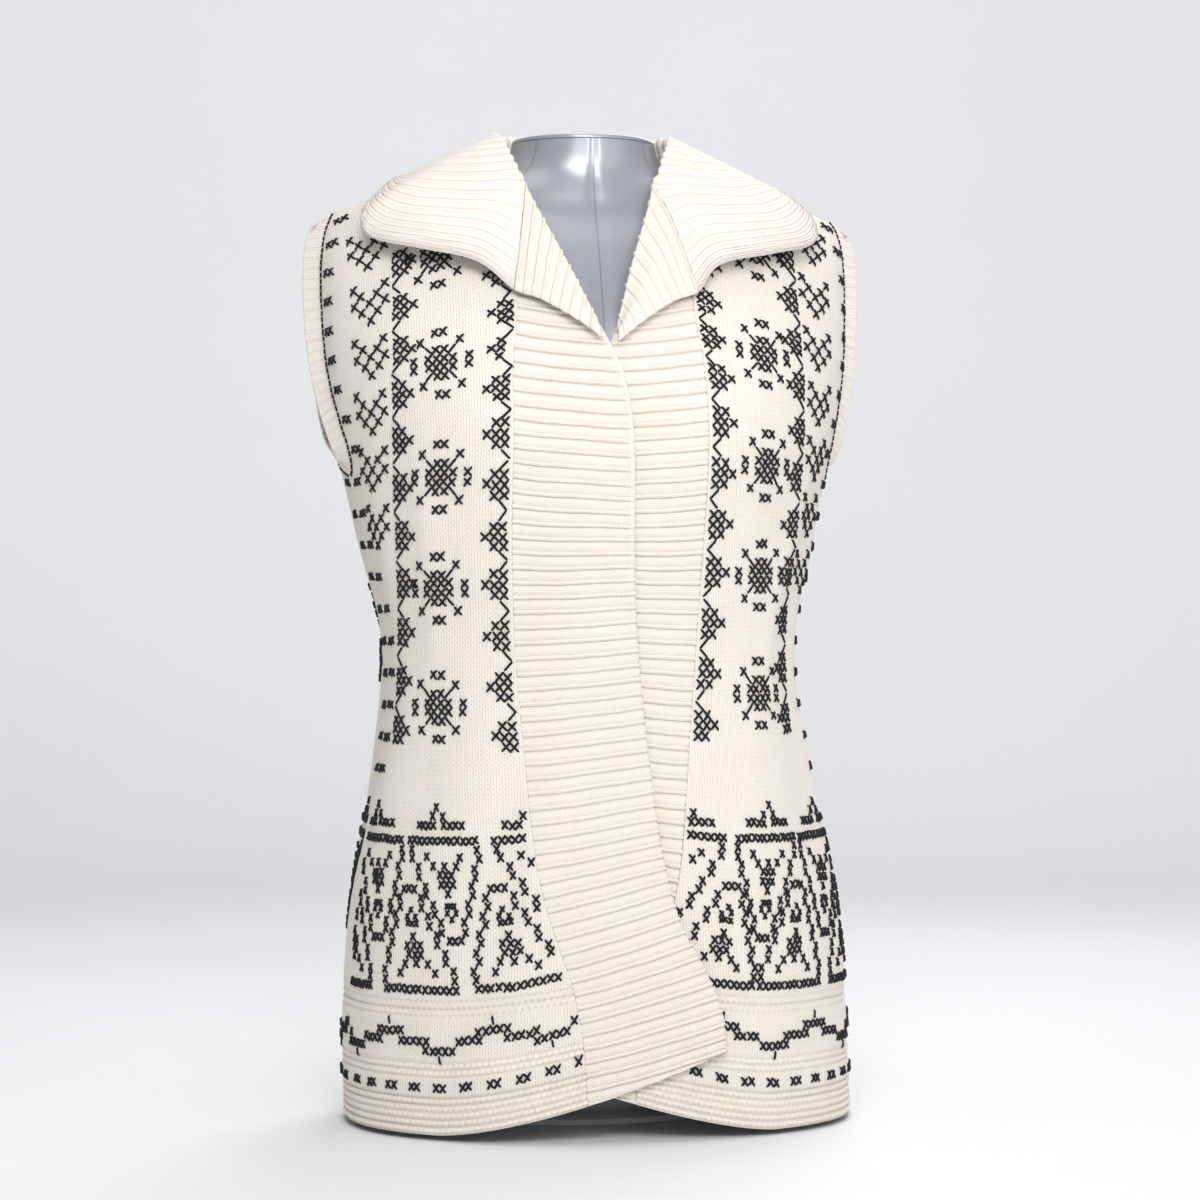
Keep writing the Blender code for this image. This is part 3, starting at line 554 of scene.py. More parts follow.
frontBand = {
    "names": {-1: "rightBand", 1: "leftBand"},
    "columns": 34,
    "width": 0.085,
    "rowStep": 0.0009,
    "pitch": 0.0102,        # from ridge to ridge
    "ridge": 0.36,          # share of it that the ridge takes
    "depth": 0.0027,
    "shallow": 0.55,
    "scallop": 0.0010,
    "roll": (0.0065, 0.34, 0.0006),    # the plain rolled edge: width, lowest level, height
    # how far the ribs rise from the seam to the free edge, by level
    "slope": np.array([(0.03, 0.023), (0.10, 0.024), (0.15, 0.022), (0.187, 0.016), (0.24, 0.011),
                       (0.29, 0.008), (0.36, 0.003), (0.43, -0.005), (0.50, -0.008),
                       (0.62, -0.009)]),
}


def ribShape(phase, shallow):
    # 1 on a narrow purl ridge, then a wide run of plain knitting that swells a little
    place = np.mod(phase, 1)
    width = frontBand["ridge"]
    ridge = np.sin(math.pi * np.clip(place / width, 0, 1))**0.8
    run = np.clip((place - width) / (1 - width), 0, 1)
    swell = np.sin(math.pi * run)**0.6
    return np.where(place < width, 0.12 + 0.88 * ridge, 0.12 + (shallow - 0.12) * swell)


def bandPhase(share, level, run, rise):
    slope = smoothAt(frontBand["slope"], level)[..., 0]
    bow = 0.0012 * np.sin(math.pi * share)
    wander = unevenness(share * frontBand["width"], run, 5, 0.0007)
    return (run - slope * share + rise + bow + wander) / frontBand["pitch"]


def makeBand(side):
    top = cloth["gorgeLevel"] - cloth["seamGap"]
    level, run = clothLevels(cloth["hemLevel"], top, lambda at: frontBand["rowStep"] + 0 * at, 12.0)
    first = degreesAt(side, smoothAt(bandRows, level)[:, 0], level) - edgeGap(level)
    last = degreesAt(side, freeEdge(side, level), level)
    share = shareLine(frontBand["columns"], frontBand["width"])
    levels = np.broadcast_to(level[:, None], (len(level), len(share)))
    runs = np.broadcast_to(run[:, None], levels.shape)
    degrees = first[:, None] + (last - first)[:, None] * share
    heights = frontPlace(float(side), degrees, levels)[0][..., 2]
    phase = bandPhase(share[None], levels, runs, heights - heights[:, :1])
    # the upper front's edge rolls plainly in its upper half
    width, lowest, height = frontBand["roll"]
    rolled = ease((levels - lowest) / 0.08) * (1 - ease((1 - share) * frontBand["width"] / width))
    rolled = rolled * (side < 0)
    rib = ribShape(phase, frontBand["shallow"]) * (1 - rolled) + rolled
    degrees = degrees - (rib - 0.4) * share**14 * np.degrees(frontBand["scallop"] / 0.16)
    base, normal = frontPlace(float(side), degrees, levels)
    base = base + normal * creaseDepth(float(side), np.abs(degrees), levels)[..., None]
    uneven = unevenness(share[None] * frontBand["width"] + side, runs, 23, 0.0004)
    relief = frontBand["depth"] * (rib - 1) + np.minimum(0, uneven) + rolled * height
    free, seamed = edgeRound["free"], edgeRound["seam"]
    outer, inner = walled(base, normal, relief, (free, seamed, seamed, free))
    across = np.broadcast_to(share * frontBand["width"], levels.shape)
    uvs = np.stack([across, phase * frontBand["pitch"]], -1)
    # painted crease shade everywhere but on the plain rolled edge
    return shellPiece(frontBand["names"][side], outer, inner, uvs, 1 - rolled)


lapel = {
    "names": {-1: "rightLapel", 1: "leftLapel"},
    "lift": 0.0050,          # height of its middle above the band under it
    "liftShare": 0.45,
    "touch": 0.0001,
    "fallColumns": 34,
    "rowStep": 0.0011,
    "ribPitch": 0.0102,
    "depth": 0.0026,
    "creaseShade": 0.42,          # how dark the painted shade in its creases is, against the band's
}


def lapelSection(side, level, edgeX, edgeLevel, angles, falls):
    # the lapel's middle surface from under its fold to its edge, and its normals
    radius = (0.003 + cloth["seamGap"]) / 2 + lapel["touch"]
    foldX = freeEdge(side, level)
    fold, normal = frontPlace(side, degreesAt(side, foldX, level), level)
    edge, _ = frontPlace(side, degreesAt(side, edgeX, edgeLevel), edgeLevel)
    across = edge - fold
    across = unit(across - normal * np.sum(across * normal, -1, keepdims=True))
    centre = fold + normal * (cloth["seamGap"] / 2) - across * cloth["seamGap"]
    turn = np.radians(angles)[:, None]
    out = normal[:, None] * np.sin(turn) - across[:, None] * np.cos(turn)
    x = foldX[:, None] + (edgeX - foldX)[:, None] * falls
    own = level[:, None] + (edgeLevel - level)[:, None] * falls
    points, outs = frontPlace(side, degreesAt(side, x, own), own)
    height = radius + lapel["lift"] * ease(falls / lapel["liftShare"])
    points = points + outs * height[:, None]
    return np.concatenate([centre[:, None] + out * radius, points], 1), np.concatenate([out, outs], 1)


def makeLapel(side):
    low, high = lapelRows[0, 0], lapelRows[-1, 0] - cloth["seamShow"]
    count = int((high - low) * 1.45 / lapel["rowStep"])
    level = np.r_[low, np.linspace(low + 0.0007, high - 0.0007, count), high]
    edges = smoothAt(lapelRows, level)
    falls = np.r_[0, np.linspace(0.02, 0.985, lapel["fallColumns"]), 1]
    angles = np.linspace(-90, 80, 10)
    middle, normal = lapelSection(float(side), level, edges[:, 0], edges[:, 1], angles, falls)
    widths = np.linalg.norm(np.diff(middle, axis=1), axis=2)
    run = np.hstack([np.zeros((len(level), 1)), np.cumsum(widths, axis=1)])
    along = np.linalg.norm(np.diff(middle[:, 26], axis=0), axis=1)
    along = np.r_[0, np.cumsum(along)][:, None] + 0 * run
    wander = unevenness(run, along, 31, 0.0006)
    phase = (along[-1, 0] - along + wander) / lapel["ribPitch"]
    rib = ribShape(phase, frontBand["shallow"])
    uneven = unevenness(run + side, along, 33, 0.0004)
    relief = lapel["depth"] * (rib - 1) + np.minimum(0, uneven)
    base = middle + normal * (cloth["wall"] / 2)
    free, seamed = edgeRound["free"], edgeRound["seam"]
    outer, inner = walled(base, normal, relief, (free, seamed, free, free))
    uvs = np.stack([run, phase * lapel["ribPitch"]], -1)
    return shellPiece(lapel["names"][side], outer, inner, uvs, lapel["creaseShade"])


collar = {
    "name": "ribbedCollar",
    "turn": 0.00345,         # radius of the turn at the roll
    "rowStep": 0.0014,
    "acrossColumns": 62,
    "ribPitch": 0.0094,
    "depth": 0.0012,
    # how dark the painted shade in its rib creases is
    "creaseShade": 0.80,
    "rollColumn": 10,
    "fanPower": 0.6,         # lower keeps the ribs level farther out from the gorge
    "cornerRows": 6,
    "cornerSoftness": 0.010,
}


def collarControl(side):
    # the sections that shape one half of the collar, from the lapel to the back centre
    level = np.array([cloth["gorgeLevel"] + cloth["seamShow"]])
    edgeX, edgeLevel = lapelRows[-1:, 1], lapelRows[-1:, 2] + cloth["seamShow"]
    falls = np.linspace(0, 1, 7)
    first, outs = lapelSection(side, level, edgeX, edgeLevel, np.array([-90, -45, 0, 45]), falls)
    rows = [first[0]]
    mirror = np.array([side, 1, 1])
    for row in collarRows:
        lift, lean = row[9], np.array([row[10], 0, 0])
        base, roll, edge = (row[k:k + 3] * mirror + lean for k in (0, 3, 6))
        outward = unit((edge - roll) * np.array([1, 1, 0]))
        turn = collar["turn"]
        line = [base, (base + roll) / 2, roll - unit(roll - base) * turn, roll + outward * turn * 0.6]
        start = roll + outward * turn * 1.7 - np.array([0, 0, turn * 0.5])
        bulge = unit(outward + np.array([0, 0, 1.0])) * lift
        for t in falls:
            line.append(start + (edge - start) * t + bulge * 4 * t * (1 - t))
        rows.append(np.array(line))
    return np.array(rows), outs[0]


def refine(grid, at):
    # smooth values of a grid's rows at the given places along its first axis
    table = np.hstack([np.arange(len(grid))[:, None], grid.reshape(len(grid), -1)])
    return smoothAt(table, at).reshape((len(at),) + grid.shape[1:])


def gridNormals(grid):
    down, across = np.gradient(grid, axis=0), np.gradient(grid, axis=1)
    return unit(np.cross(across, down))


def collarRuns(grid):
    # lengths that the ribs count from the lower edge, up the gorge and round the neck
    roll = collar["rollColumn"]
    rollRun = np.r_[0, np.cumsum(np.linalg.norm(np.diff(grid[:, roll], axis=0), axis=1))]
    edgeRun = np.r_[0, np.cumsum(np.linalg.norm(np.diff(grid[:, -1], axis=0), axis=1))]
    widths = np.linalg.norm(np.diff(grid, axis=1), axis=2)
    wide = np.hstack([np.zeros((len(grid), 1)), np.cumsum(widths, axis=1)])
    corner = int(np.argmax(np.abs(grid[:, -1, 0]))) - collar["cornerRows"]
    past = edgeRun - edgeRun[corner]
    past = (past + np.hypot(past, collar["cornerSoftness"])) / 2
    atRoll = wide[0, -1] - wide[0, roll] + rollRun
    atEdge = (past - past[0]) * atRoll[-1] / (past[-1] - past[0])
    share = (wide - wide[:, roll:roll + 1]) / (wide[:, -1:] - wide[:, roll:roll + 1])
    hold = (1 - np.clip(share, 0, 1))**collar["fanPower"]
    return atRoll[:, None] * hold + atEdge[:, None] * (1 - hold)


def makeCollar():
    across = np.r_[np.linspace(0, 4, 14)[:-1], np.linspace(4, 9.94, collar["acrossColumns"] - 14), 10]
    halves, firstOuts = [], []
    for side in (-1.0, 1.0):
        control, outs = collarControl(side)
        fine = refine(np.swapaxes(control, 0, 1), across)
        fine = np.swapaxes(fine, 0, 1)
        coarse = refine(fine, np.linspace(0, len(fine) - 1, 400))
        steps = np.linalg.norm(np.diff(coarse[:, -12], axis=0), axis=1)
        run = np.r_[0, np.cumsum(steps)]
        count = int(run[-1] / collar["rowStep"])
        wanted = np.r_[0, 0.0007, np.linspace(collar["rowStep"], run[-1], count)]
        places = np.interp(wanted, run, np.linspace(0, len(fine) - 1, 400))
        halves.append((refine(fine, places), wanted))
        outs = refine(outs, across)
        firstOuts.append(unit(outs))
    middle = np.concatenate([halves[0][0], halves[1][0][-2::-1]])
    run = np.r_[halves[0][1], 2 * halves[0][1][-1] - halves[1][1][-2::-1]]
    normal = gridNormals(middle)
    if np.sum(normal[5, -5] * firstOuts[0][-5]) < 0:
        normal = -normal
    for i in range(6):
        mix = ease((i + 1) / 6)
        normal[i] = unit(firstOuts[0] * (1 - mix) + normal[i] * mix)
        normal[-1 - i] = unit(firstOuts[1] * (1 - mix) + normal[-1 - i] * mix)
    widths = np.linalg.norm(np.diff(middle, axis=1), axis=2)
    wide = np.hstack([np.zeros((len(middle), 1)), np.cumsum(widths, axis=1)])
    runs = np.broadcast_to(run[:, None], wide.shape)
    first, second = collarRuns(halves[0][0]), collarRuns(halves[1][0])
    middleRun = first[-1]
    second = 2 * middleRun - second * middleRun / second[-1]
    ribRun = np.concatenate([first, second[-2::-1]])
    phase = (ribRun + unevenness(wide, runs, 41, 0.0005)) / collar["ribPitch"]
    rib = np.sin(math.pi * phase)**2
    uneven = unevenness(wide, runs, 43, 0.0005)
    relief = collar["depth"] * (rib - 1) + np.minimum(0, uneven)
    base = middle + normal * (cloth["wall"] / 2)
    free, seamed = edgeRound["free"], edgeRound["seam"]
    outer, inner = walled(base, normal, relief, (seamed, seamed, seamed, free))
    uvs = np.stack([wide + runs, phase * collar["ribPitch"]], -1)
    return shellPiece(collar["name"], outer, inner, uvs, collar["creaseShade"])


armband = {
    "names": {-1: "rightArmband", 1: "leftArmband"},
    "width": 0.0155,
    "columns": 13,
    "rowStep": 0.0012,
    "ribPitch": 0.0070,
    "depth": 0.0012,
}


def armholeLine(side, which, level):
    degrees = smoothAt(armRows, level)[:, which]
    point, normal = clothPoint(side, degrees, level), clothNormal(side, degrees, level)
    return np.hstack([point - normal * 0.0015, normal, smoothAt(armRows, level)[:, 2:4]])


def smoothLoop(values, times):
    for _ in range(times):
        values = (np.roll(values, 1, 0) + 2 * values + np.roll(values, -1, 0)) / 4
    return values


def makeArmband(side):
    low, high = armRows[0, 0], armRows[-1, 0]
    up = low + (high - low) * np.linspace(0, 1, 400)**0.9
    loop = np.vstack([armholeLine(side, 0, up[::-1]), armholeLine(side, 1, up[1:-1])])
    closed = np.vstack([loop, loop[:1]])
    run = np.r_[0, np.cumsum(np.linalg.norm(np.diff(closed[:, :3], axis=0), axis=1))]
    ribs = round(run[-1] / armband["ribPitch"])
    count = int(run[-1] / armband["rowStep"])
    at = np.linspace(0, run[-1], count, endpoint=False)
    loop = np.stack([np.interp(at, run, closed[:, k]) for k in range(8)], -1)
    loop = smoothLoop(loop, 6)
    point, normal = loop[:, :3], unit(loop[:, 3:6])
    out, drop = loop[:, 6:7], loop[:, 7:8]
    along = unit(np.roll(point, -1, 0) - np.roll(point, 1, 0))
    offEdge = np.cross(along, normal) * -side
    turned = offEdge + np.array([side, 0, 0]) * out - np.array([0, 0, 1]) * drop
    turned = unit(turned - along * np.sum(turned * along, -1, keepdims=True))
    lean = np.abs(np.sum(turned * normal, -1, keepdims=True))
    start = point + offEdge * (cloth["seamGap"] + 0.0015 * lean + lapel["touch"])
    share = np.r_[0, np.linspace(0.05, 0.95, armband["columns"]), 1]
    across = share[:, None] * armband["width"]
    middle = start[:, None] + turned[:, None] * across
    facing = unit(np.cross(turned, along)) * side
    facing = smoothLoop(facing, 4)
    normals = np.broadcast_to(facing[:, None], middle.shape)
    phase = at[:, None] / run[-1] * ribs + 0 * share
    rib = np.abs(np.sin(math.pi * phase))**0.8
    relief = armband["depth"] * (rib - 1)
    base = middle + normals * (cloth["wall"] / 2)
    outer, inner = walled(base, normals, relief, (0, 0, edgeRound["seam"], edgeRound["free"]))
    uvs = np.stack([np.broadcast_to(across[:, 0], phase.shape), at[:, None] + 0 * share], -1)
    # painted shade in the grooves between the ribs
    return shellPiece(armband["names"][side], outer, inner, uvs, (1 - rib)**2, ring=True)


form = {
    "name": "formTorso",
    "sides": 132,
    "rings": 110,
    "seams": (0.0, 50.0, 130.0, 180.0, 230.0, 310.0),   # degrees round from the front
    "seamDepth": 0.0009,
    "seamWidth": 0.0016,
}


def ovalRing(ring, count, power=None):
    # a ring of the form, counter-clockwise from the wearer's left
    angle = np.linspace(0, 2 * math.pi, count, endpoint=False)
    cosine, sine = np.cos(angle), np.sin(angle)
    z, half, front, back, ownPower = ring
    power = power or ownPower
    x = half * np.sign(cosine) * np.abs(cosine)**(2 / power)
    y = np.where(sine > 0, back, front) * np.sign(sine) * np.abs(sine)**(2 / power)
    chest = chestFullness(x, z) * np.minimum(1, -3 * y / front)
    y = y - np.where(y < 0, chest, 0)
    return np.stack([x, y, np.full(count, z)], -1)


def evenRing(points):
    # the same ring with even spacing, starting at the front centre
    start = np.argmin(np.abs(points[:, 0]) + 10 * (points[:, 1] > 0))
    points = np.roll(points, -start, 0)
    closed = np.vstack([points, points[:1]])
    run = np.r_[0, np.cumsum(np.linalg.norm(np.diff(closed, axis=0), axis=1))]
    at = np.linspace(0, run[-1], form["sides"], endpoint=False)
    return np.stack([np.interp(at, run, closed[:, k]) for k in range(3)], -1)


def loftObject(name, rings):
    # a closed solid through rings of points, bottom to top
    rings = np.array(rings)
    count, sides = rings.shape[:2]
    o = np.arange(count * sides).reshape(count, sides)
    k = np.roll(o, -1, 1)
    quads = np.stack([o[:-1].ravel(), k[:-1].ravel(), k[1:].ravel(), o[1:].ravel()], -1)
    piece = bpy.data.meshes.new(name)
    faces = quads.tolist() + [o[0][::-1].tolist(), o[-1].tolist()]
    piece.from_pydata(rings.reshape(-1, 3).tolist(), [], faces)
    piece.shade_smooth()
    piece.set_sharp_from_angle(angle=math.radians(50))
    loft = bpy.data.objects.new(name, piece)
    bpy.context.scene.collection.objects.link(loft)
    return loft


def makeTorso():
    heights = np.r_[np.linspace(0.048, 0.060, 12)[:-1], np.linspace(0.060, 0.6767, form["rings"])]
    fine = smoothAt(formRings, heights)
    rings = []
    for z, row in zip(heights, fine):
        ring = evenRing(ovalRing((z, *row), 720))
        centre = np.array([0, 0, z])
        outward = unit(ring - centre)
        turn = np.degrees(np.arctan2(ring[:, 0], -ring[:, 1])) % 360
        groove = np.zeros(len(ring))
        radius = np.linalg.norm(ring[:, :2], axis=1)
        for seam in form["seams"]:
            away = np.abs((turn - seam + 180) % 360 - 180)
            away = np.radians(away) * radius
            groove = np.maximum(groove, np.exp(-(away / form["seamWidth"])**2))
        rings.append(ring - outward * (groove * form["seamDepth"])[:, None])
    return loftObject(form["name"], rings)


def makeNeckCap():
    # the disc that closes the neck, with a softly rounded rim
    z, half, front, back, _ = formRings[-1]
    low, high = z + 0.0003, z + 0.0031
    steps = [(0.0009, low), (0.0004, low + 0.0004), (0.0004, high - 0.0009),
             (0.0007, high - 0.0003), (0.0014, high), (0.0200, high), (0.0400, high)]
    rings = [ovalRing((0, half - inset, front - inset, back - inset, 2.0), 96) for inset, _ in steps]
    for ring, (_, height) in zip(rings, steps):
        ring[:, 2] = height
    return loftObject("formNeckCap", rings)


def makeFoot():
    # a low turned foot with a short stem, set back a little
    steps = [(0.0965, 0.0645, 0.0), (0.098, 0.066, 0.0012), (0.098, 0.066, 0.0046),
             (0.0955, 0.0635, 0.0060), (0.070, 0.048, 0.0068), (0.062, 0.042, 0.0084),
             (0.060, 0.040, 0.0110), (0.060, 0.040, 0.0468), (0.0592, 0.0392, 0.0477)]
    rings = [ovalRing((z, half, deep, deep, 2.0), 96) for half, deep, z in steps]
    for ring in rings:
        ring[:, 1] += 0.012
    return loftObject("formFoot", rings)


yarn = {
    "thickness": 0.00165,
    "lift": 0.00050,           # how high a stitch stands over the cloth
    "overlap": 0.00055,        # and how much more where it crosses another
    "dip": -0.00080,           # its ends go into the cloth
    "reach": 1.08,             # length of a stitch over its hole to hole length
    "jitter": 0.00028,
    "margin": 0.0026,          # from a seam to the middle of the nearest cross
}

# small repeats: x is a cross, / and \ are single slanting stitches and i a steep one
charts = {
    "triangle": ["xx.", "xxx", "xx.", "/..", "\\.."],
    "medallion": ["...xx...", ".x....x.", "..\\xx/..", "x.xxxx.x",
                  "x.xxxx.x", "../xx\\..", ".x....x.", "...xx..."],
    "trellis": ["x...x", ".x.x.", "x.x.x", ".x.x.", "..x.."],
    "pair": ["xx"],
    "crown": ["....x....", "...x.x...", "xxxx.xxxx"],
    "tent": [".....xxx.....", "....x...x....", "....x...x....", "...x.....x...",
             "...x.....x...", "..x.......x..", "..x.......x..", ".x.........x.",
             ".x.........x.", "x...........x", "x...........x", "xxxxxxxxxxxxx"],
    "sprig": ["...x...", "..xxx..", "..xxx..", ".x.x.x.", "x.....x"],
    "bud": [".x.", "x.x", "xxx"],
    "wave": ["..........i.....", "........xxxxx...", "....xxxxx...xxxx",
             "xxxxx...........", "..i............."],
}
slants = {"x": 0, "/": 1, "\\": -1, "i": 1}


def chartPlaces(name, cell, flip=1, turn=1):
    # the stitches of a chart around its middle: across, up, half size and slant
    rows = charts[name]
    high, wide = len(rows), len(rows[0])
    places = []
    for i, row in enumerate(rows):
        for j, mark in enumerate(row):
            if mark in slants:
                across = (j - (wide - 1) / 2) * cell[0] * flip
                up = ((high - 1) / 2 - i) * cell[1] * turn
                half = cell[0] / (10 if mark == "i" else 2)
                places.append((across, up, half, cell[1] / 2, slants[mark] * flip * turn))
    return places


def shifted(places, across, up):
    return [(place[0] + across, place[1] + up) + place[2:] for place in places]


# lengths up the cloth, by level, for every ten degrees round it
upLevels = np.linspace(cloth["hemLevel"], cloth["shoulderLevel"], 700)
upRuns = []
for turn in range(0, 181, 10):
    upSteps = np.linalg.norm(np.diff(clothPoint(1.0, float(turn), upLevels), axis=0), axis=1)
    upRuns.append(np.r_[0, np.cumsum(upSteps)])


def levelAbove(level, up, degrees):
    runs = upRuns[int(np.clip(round(degrees / 10), 0, 18))]
    return float(np.interp(np.interp(level, upLevels, runs) + up, runs, upLevels))


def anchorAt(side, ownX, z):
    # the cloth's arc and level at a distance from the centre and a height, on a front
    level = z
    for _ in range(60):
        level = float(np.clip(level, cloth["hemLevel"], cloth["shoulderLevel"]))
        point, _ = frontPlace(side, degreesAt(side, ownX, np.array(level)), np.array(level))
        level += 0.4 * (z - float(point[2]))
    degrees = float(degreesAt(side, ownX, np.array(level)))
    return float(arcAt(degrees, level)), level, degrees


def backAnchor(ownX, level):
    degrees = 180 - float(degreesAt(1.0, ownX, np.array(level)))
    return float(arcAt(degrees, level)), level, degrees


def backShift(level, own, back):
    # the arc from the front centre that keeps a back motif at one distance from the back centre
    if not back:
        return 0.0
    return arcAt(180.0 + 0 * own, own) - arcAt(180.0 + 0 * own, level + 0 * own)


def panelEdges(side, level, back):
    if back:
        return float(armEdge(np.array(level), 1)), motifs["backPast"]
    table = bandRows if level < cloth["gorgeLevel"] else neckRows
    seam = smoothAt(table, np.array(level))[0]
    return float(degreesAt(side, seam, np.array(level))), float(armEdge(np.array(level), 0))


def spotsFor(side, anchor, places, back, lean=0.0, past=True):
    # the stitches of a motif that lie on the panel: side, arc, level, half size and slant
    arc, level, degrees = anchor
    spots = []
    for across, up, width, height, slant in places:
        at = arc + across + lean * up
        pull = 0 if back else motifs["pull"] * ease((motifs["pullArc"] - at) / motifs["pullArc"])
        own = levelAbove(level, up + pull * ease((0.26 - level) / 0.08), degrees)
        at += float(backShift(level, np.array(own), back))
        ownSide, farthest = side, float(arcAt(180.0, own))
        if at > farthest:
            if not past:
                continue
            ownSide, at, slant = -side, 2 * farthest - at, -slant
        turn = float(degreesAtArc(at, own))
        first, last = panelEdges(side, own, back)
        margin = math.degrees(yarn["margin"] / 0.13)
        if first + margin < turn < last - margin and own < cloth["shoulderLevel"] - 0.0006:
            spots.append((ownSide, at, own, width, height, slant))
    return spots


def clothFrames(spots, back):
    # points, normals and directions across and up for many spots at once
    side, arc, level = (np.array([spot[k] for spot in spots]) for k in range(3))

    def place(arcStep, levelStep):
        own = np.clip(level + levelStep, cloth["hemLevel"], cloth["shoulderLevel"])
        arcs = arc + arcStep + backShift(level, own, back)
        degrees = np.array([degreesAtArc(a, b) for a, b in zip(arcs, own)])
        point, normal, relief = panelPlace(side, degrees, own, back)
        return point, normal, relief

    point, normal, relief = place(0, 0)
    across = place(0.0015, 0)[0] - place(-0.0015, 0)[0]
    up = place(0, 0.0006)[0] - place(0, -0.0006)[0]
    across = unit(across - normal * np.sum(across * normal, -1, keepdims=True))
    up = unit(up - normal * np.sum(up * normal, -1, keepdims=True))
    return point + normal * relief[:, None], normal, across, up


barShape = {
    "along": np.array([-1.0, -0.66, 0.66, 1.0]),
    "height": np.array([0.0, 1.0, 1.0, 0.0]),
    "radius": np.array([0.60, 1.05, 1.05, 0.60]),
    "sides": 5,
    "flatness": 0.85,
}


def yarnBars(start, end, normal, lift):
    # short lengths of yarn from start to end, each arched over the cloth
    count, sides, rings = len(start), barShape["sides"], len(barShape["along"])
    middle, half = (start + end) / 2, (end - start) / 2
    side = unit(np.cross(normal, half))
    loops = []
    radius = yarn["thickness"] / 2
    for along, height, size in zip(*(barShape[k] for k in ("along", "height", "radius"))):
        rise = yarn["dip"] + (lift - yarn["dip"]) * height
        centre = middle + half * along + normal * np.reshape(rise, (-1, 1))
        for turn in 2 * math.pi * np.arange(sides) / sides:
            out = side * math.cos(turn) + normal * math.sin(turn) * barShape["flatness"]
            loops.append(centre + out * radius * size)
    points = np.stack(loops, 1)
    walls, caps = [], []
    for ring in range(rings - 1):
        for k in range(sides):
            a, b = ring * sides + k, ring * sides + (k + 1) % sides
            walls.append((a, b, b + sides, a + sides))
    for first, step in ((0, -1), ((rings - 1) * sides, 1)):
        caps.append([first + (step * k) % sides for k in range(sides)])
    each = sides * rings * np.arange(count)[:, None, None]
    faces = [(np.array(walls)[None] + each).reshape(-1, 4), (np.array(caps)[None] + each).reshape(-1, sides)]
    lengths = np.linalg.norm(half, axis=1)
    along = np.repeat(barShape["along"], sides)[None] * lengths[:, None]
    around = np.tile(np.arange(sides) / sides, rings)[None] * yarn["thickness"] * 3 + 0 * along
    return points.reshape(-1, 3), faces, np.stack([along, around], -1).reshape(-1, 2)


def crossStitches(spots, back, seed):
    # two crossed stitches at every spot, or one where the chart has a single slant
    random = np.random.default_rng(seed)
    point, normal, across, up = clothFrames(spots, back)
    count = len(spots)
    point = point + across * random.normal(0, yarn["jitter"], (count, 1))
    point = point + up * random.normal(0, yarn["jitter"], (count, 1))
    width, height, slant = (np.array([spot[k] for spot in spots])[:, None] for k in (3, 4, 5))
    stretch = yarn["reach"] * (1 + random.normal(0, 0.06, (4, count, 1)))
    rising = across * width * stretch[0] + up * height * stretch[1]
    falling = across * width * stretch[2] - up * height * stretch[3]
    parts = []
    for half, lift, wanted in ((rising, 0, slant >= 0), (falling, yarn["overlap"], slant <= 0)):
        keep = wanted[:, 0]
        rise = yarn["lift"] + np.where(slant[keep, 0] == 0, lift, 0)
        parts.append(yarnBars((point - half)[keep], (point + half)[keep], normal[keep], rise))
    return parts


def runningLine(lines, back, seed):
    # joined stitches along lines of spots, each line a list of (side, arc, level)
    random = np.random.default_rng(seed)
    parts = []
    for line in lines:
        point, normal, _, _ = clothFrames(line, back)
        point = point + random.normal(0, yarn["jitter"] * 0.5, point.shape)
        lift = np.full(len(point) - 1, yarn["lift"])
        parts.append(yarnBars(point[:-1], point[1:], (normal[:-1] + normal[1:]) / 2, lift))
    return parts


def joinYarn(name, parts):
    points, faces, uvs, offset = [], [], [], 0
    for partPoints, partFaces, partUvs in parts:
        points.append(partPoints)
        for block in partFaces:
            faces += (block + offset).tolist()
        uvs.append(partUvs)
        offset += len(partPoints)
    return meshObject(name, np.vstack(points), faces, np.vstack(uvs))


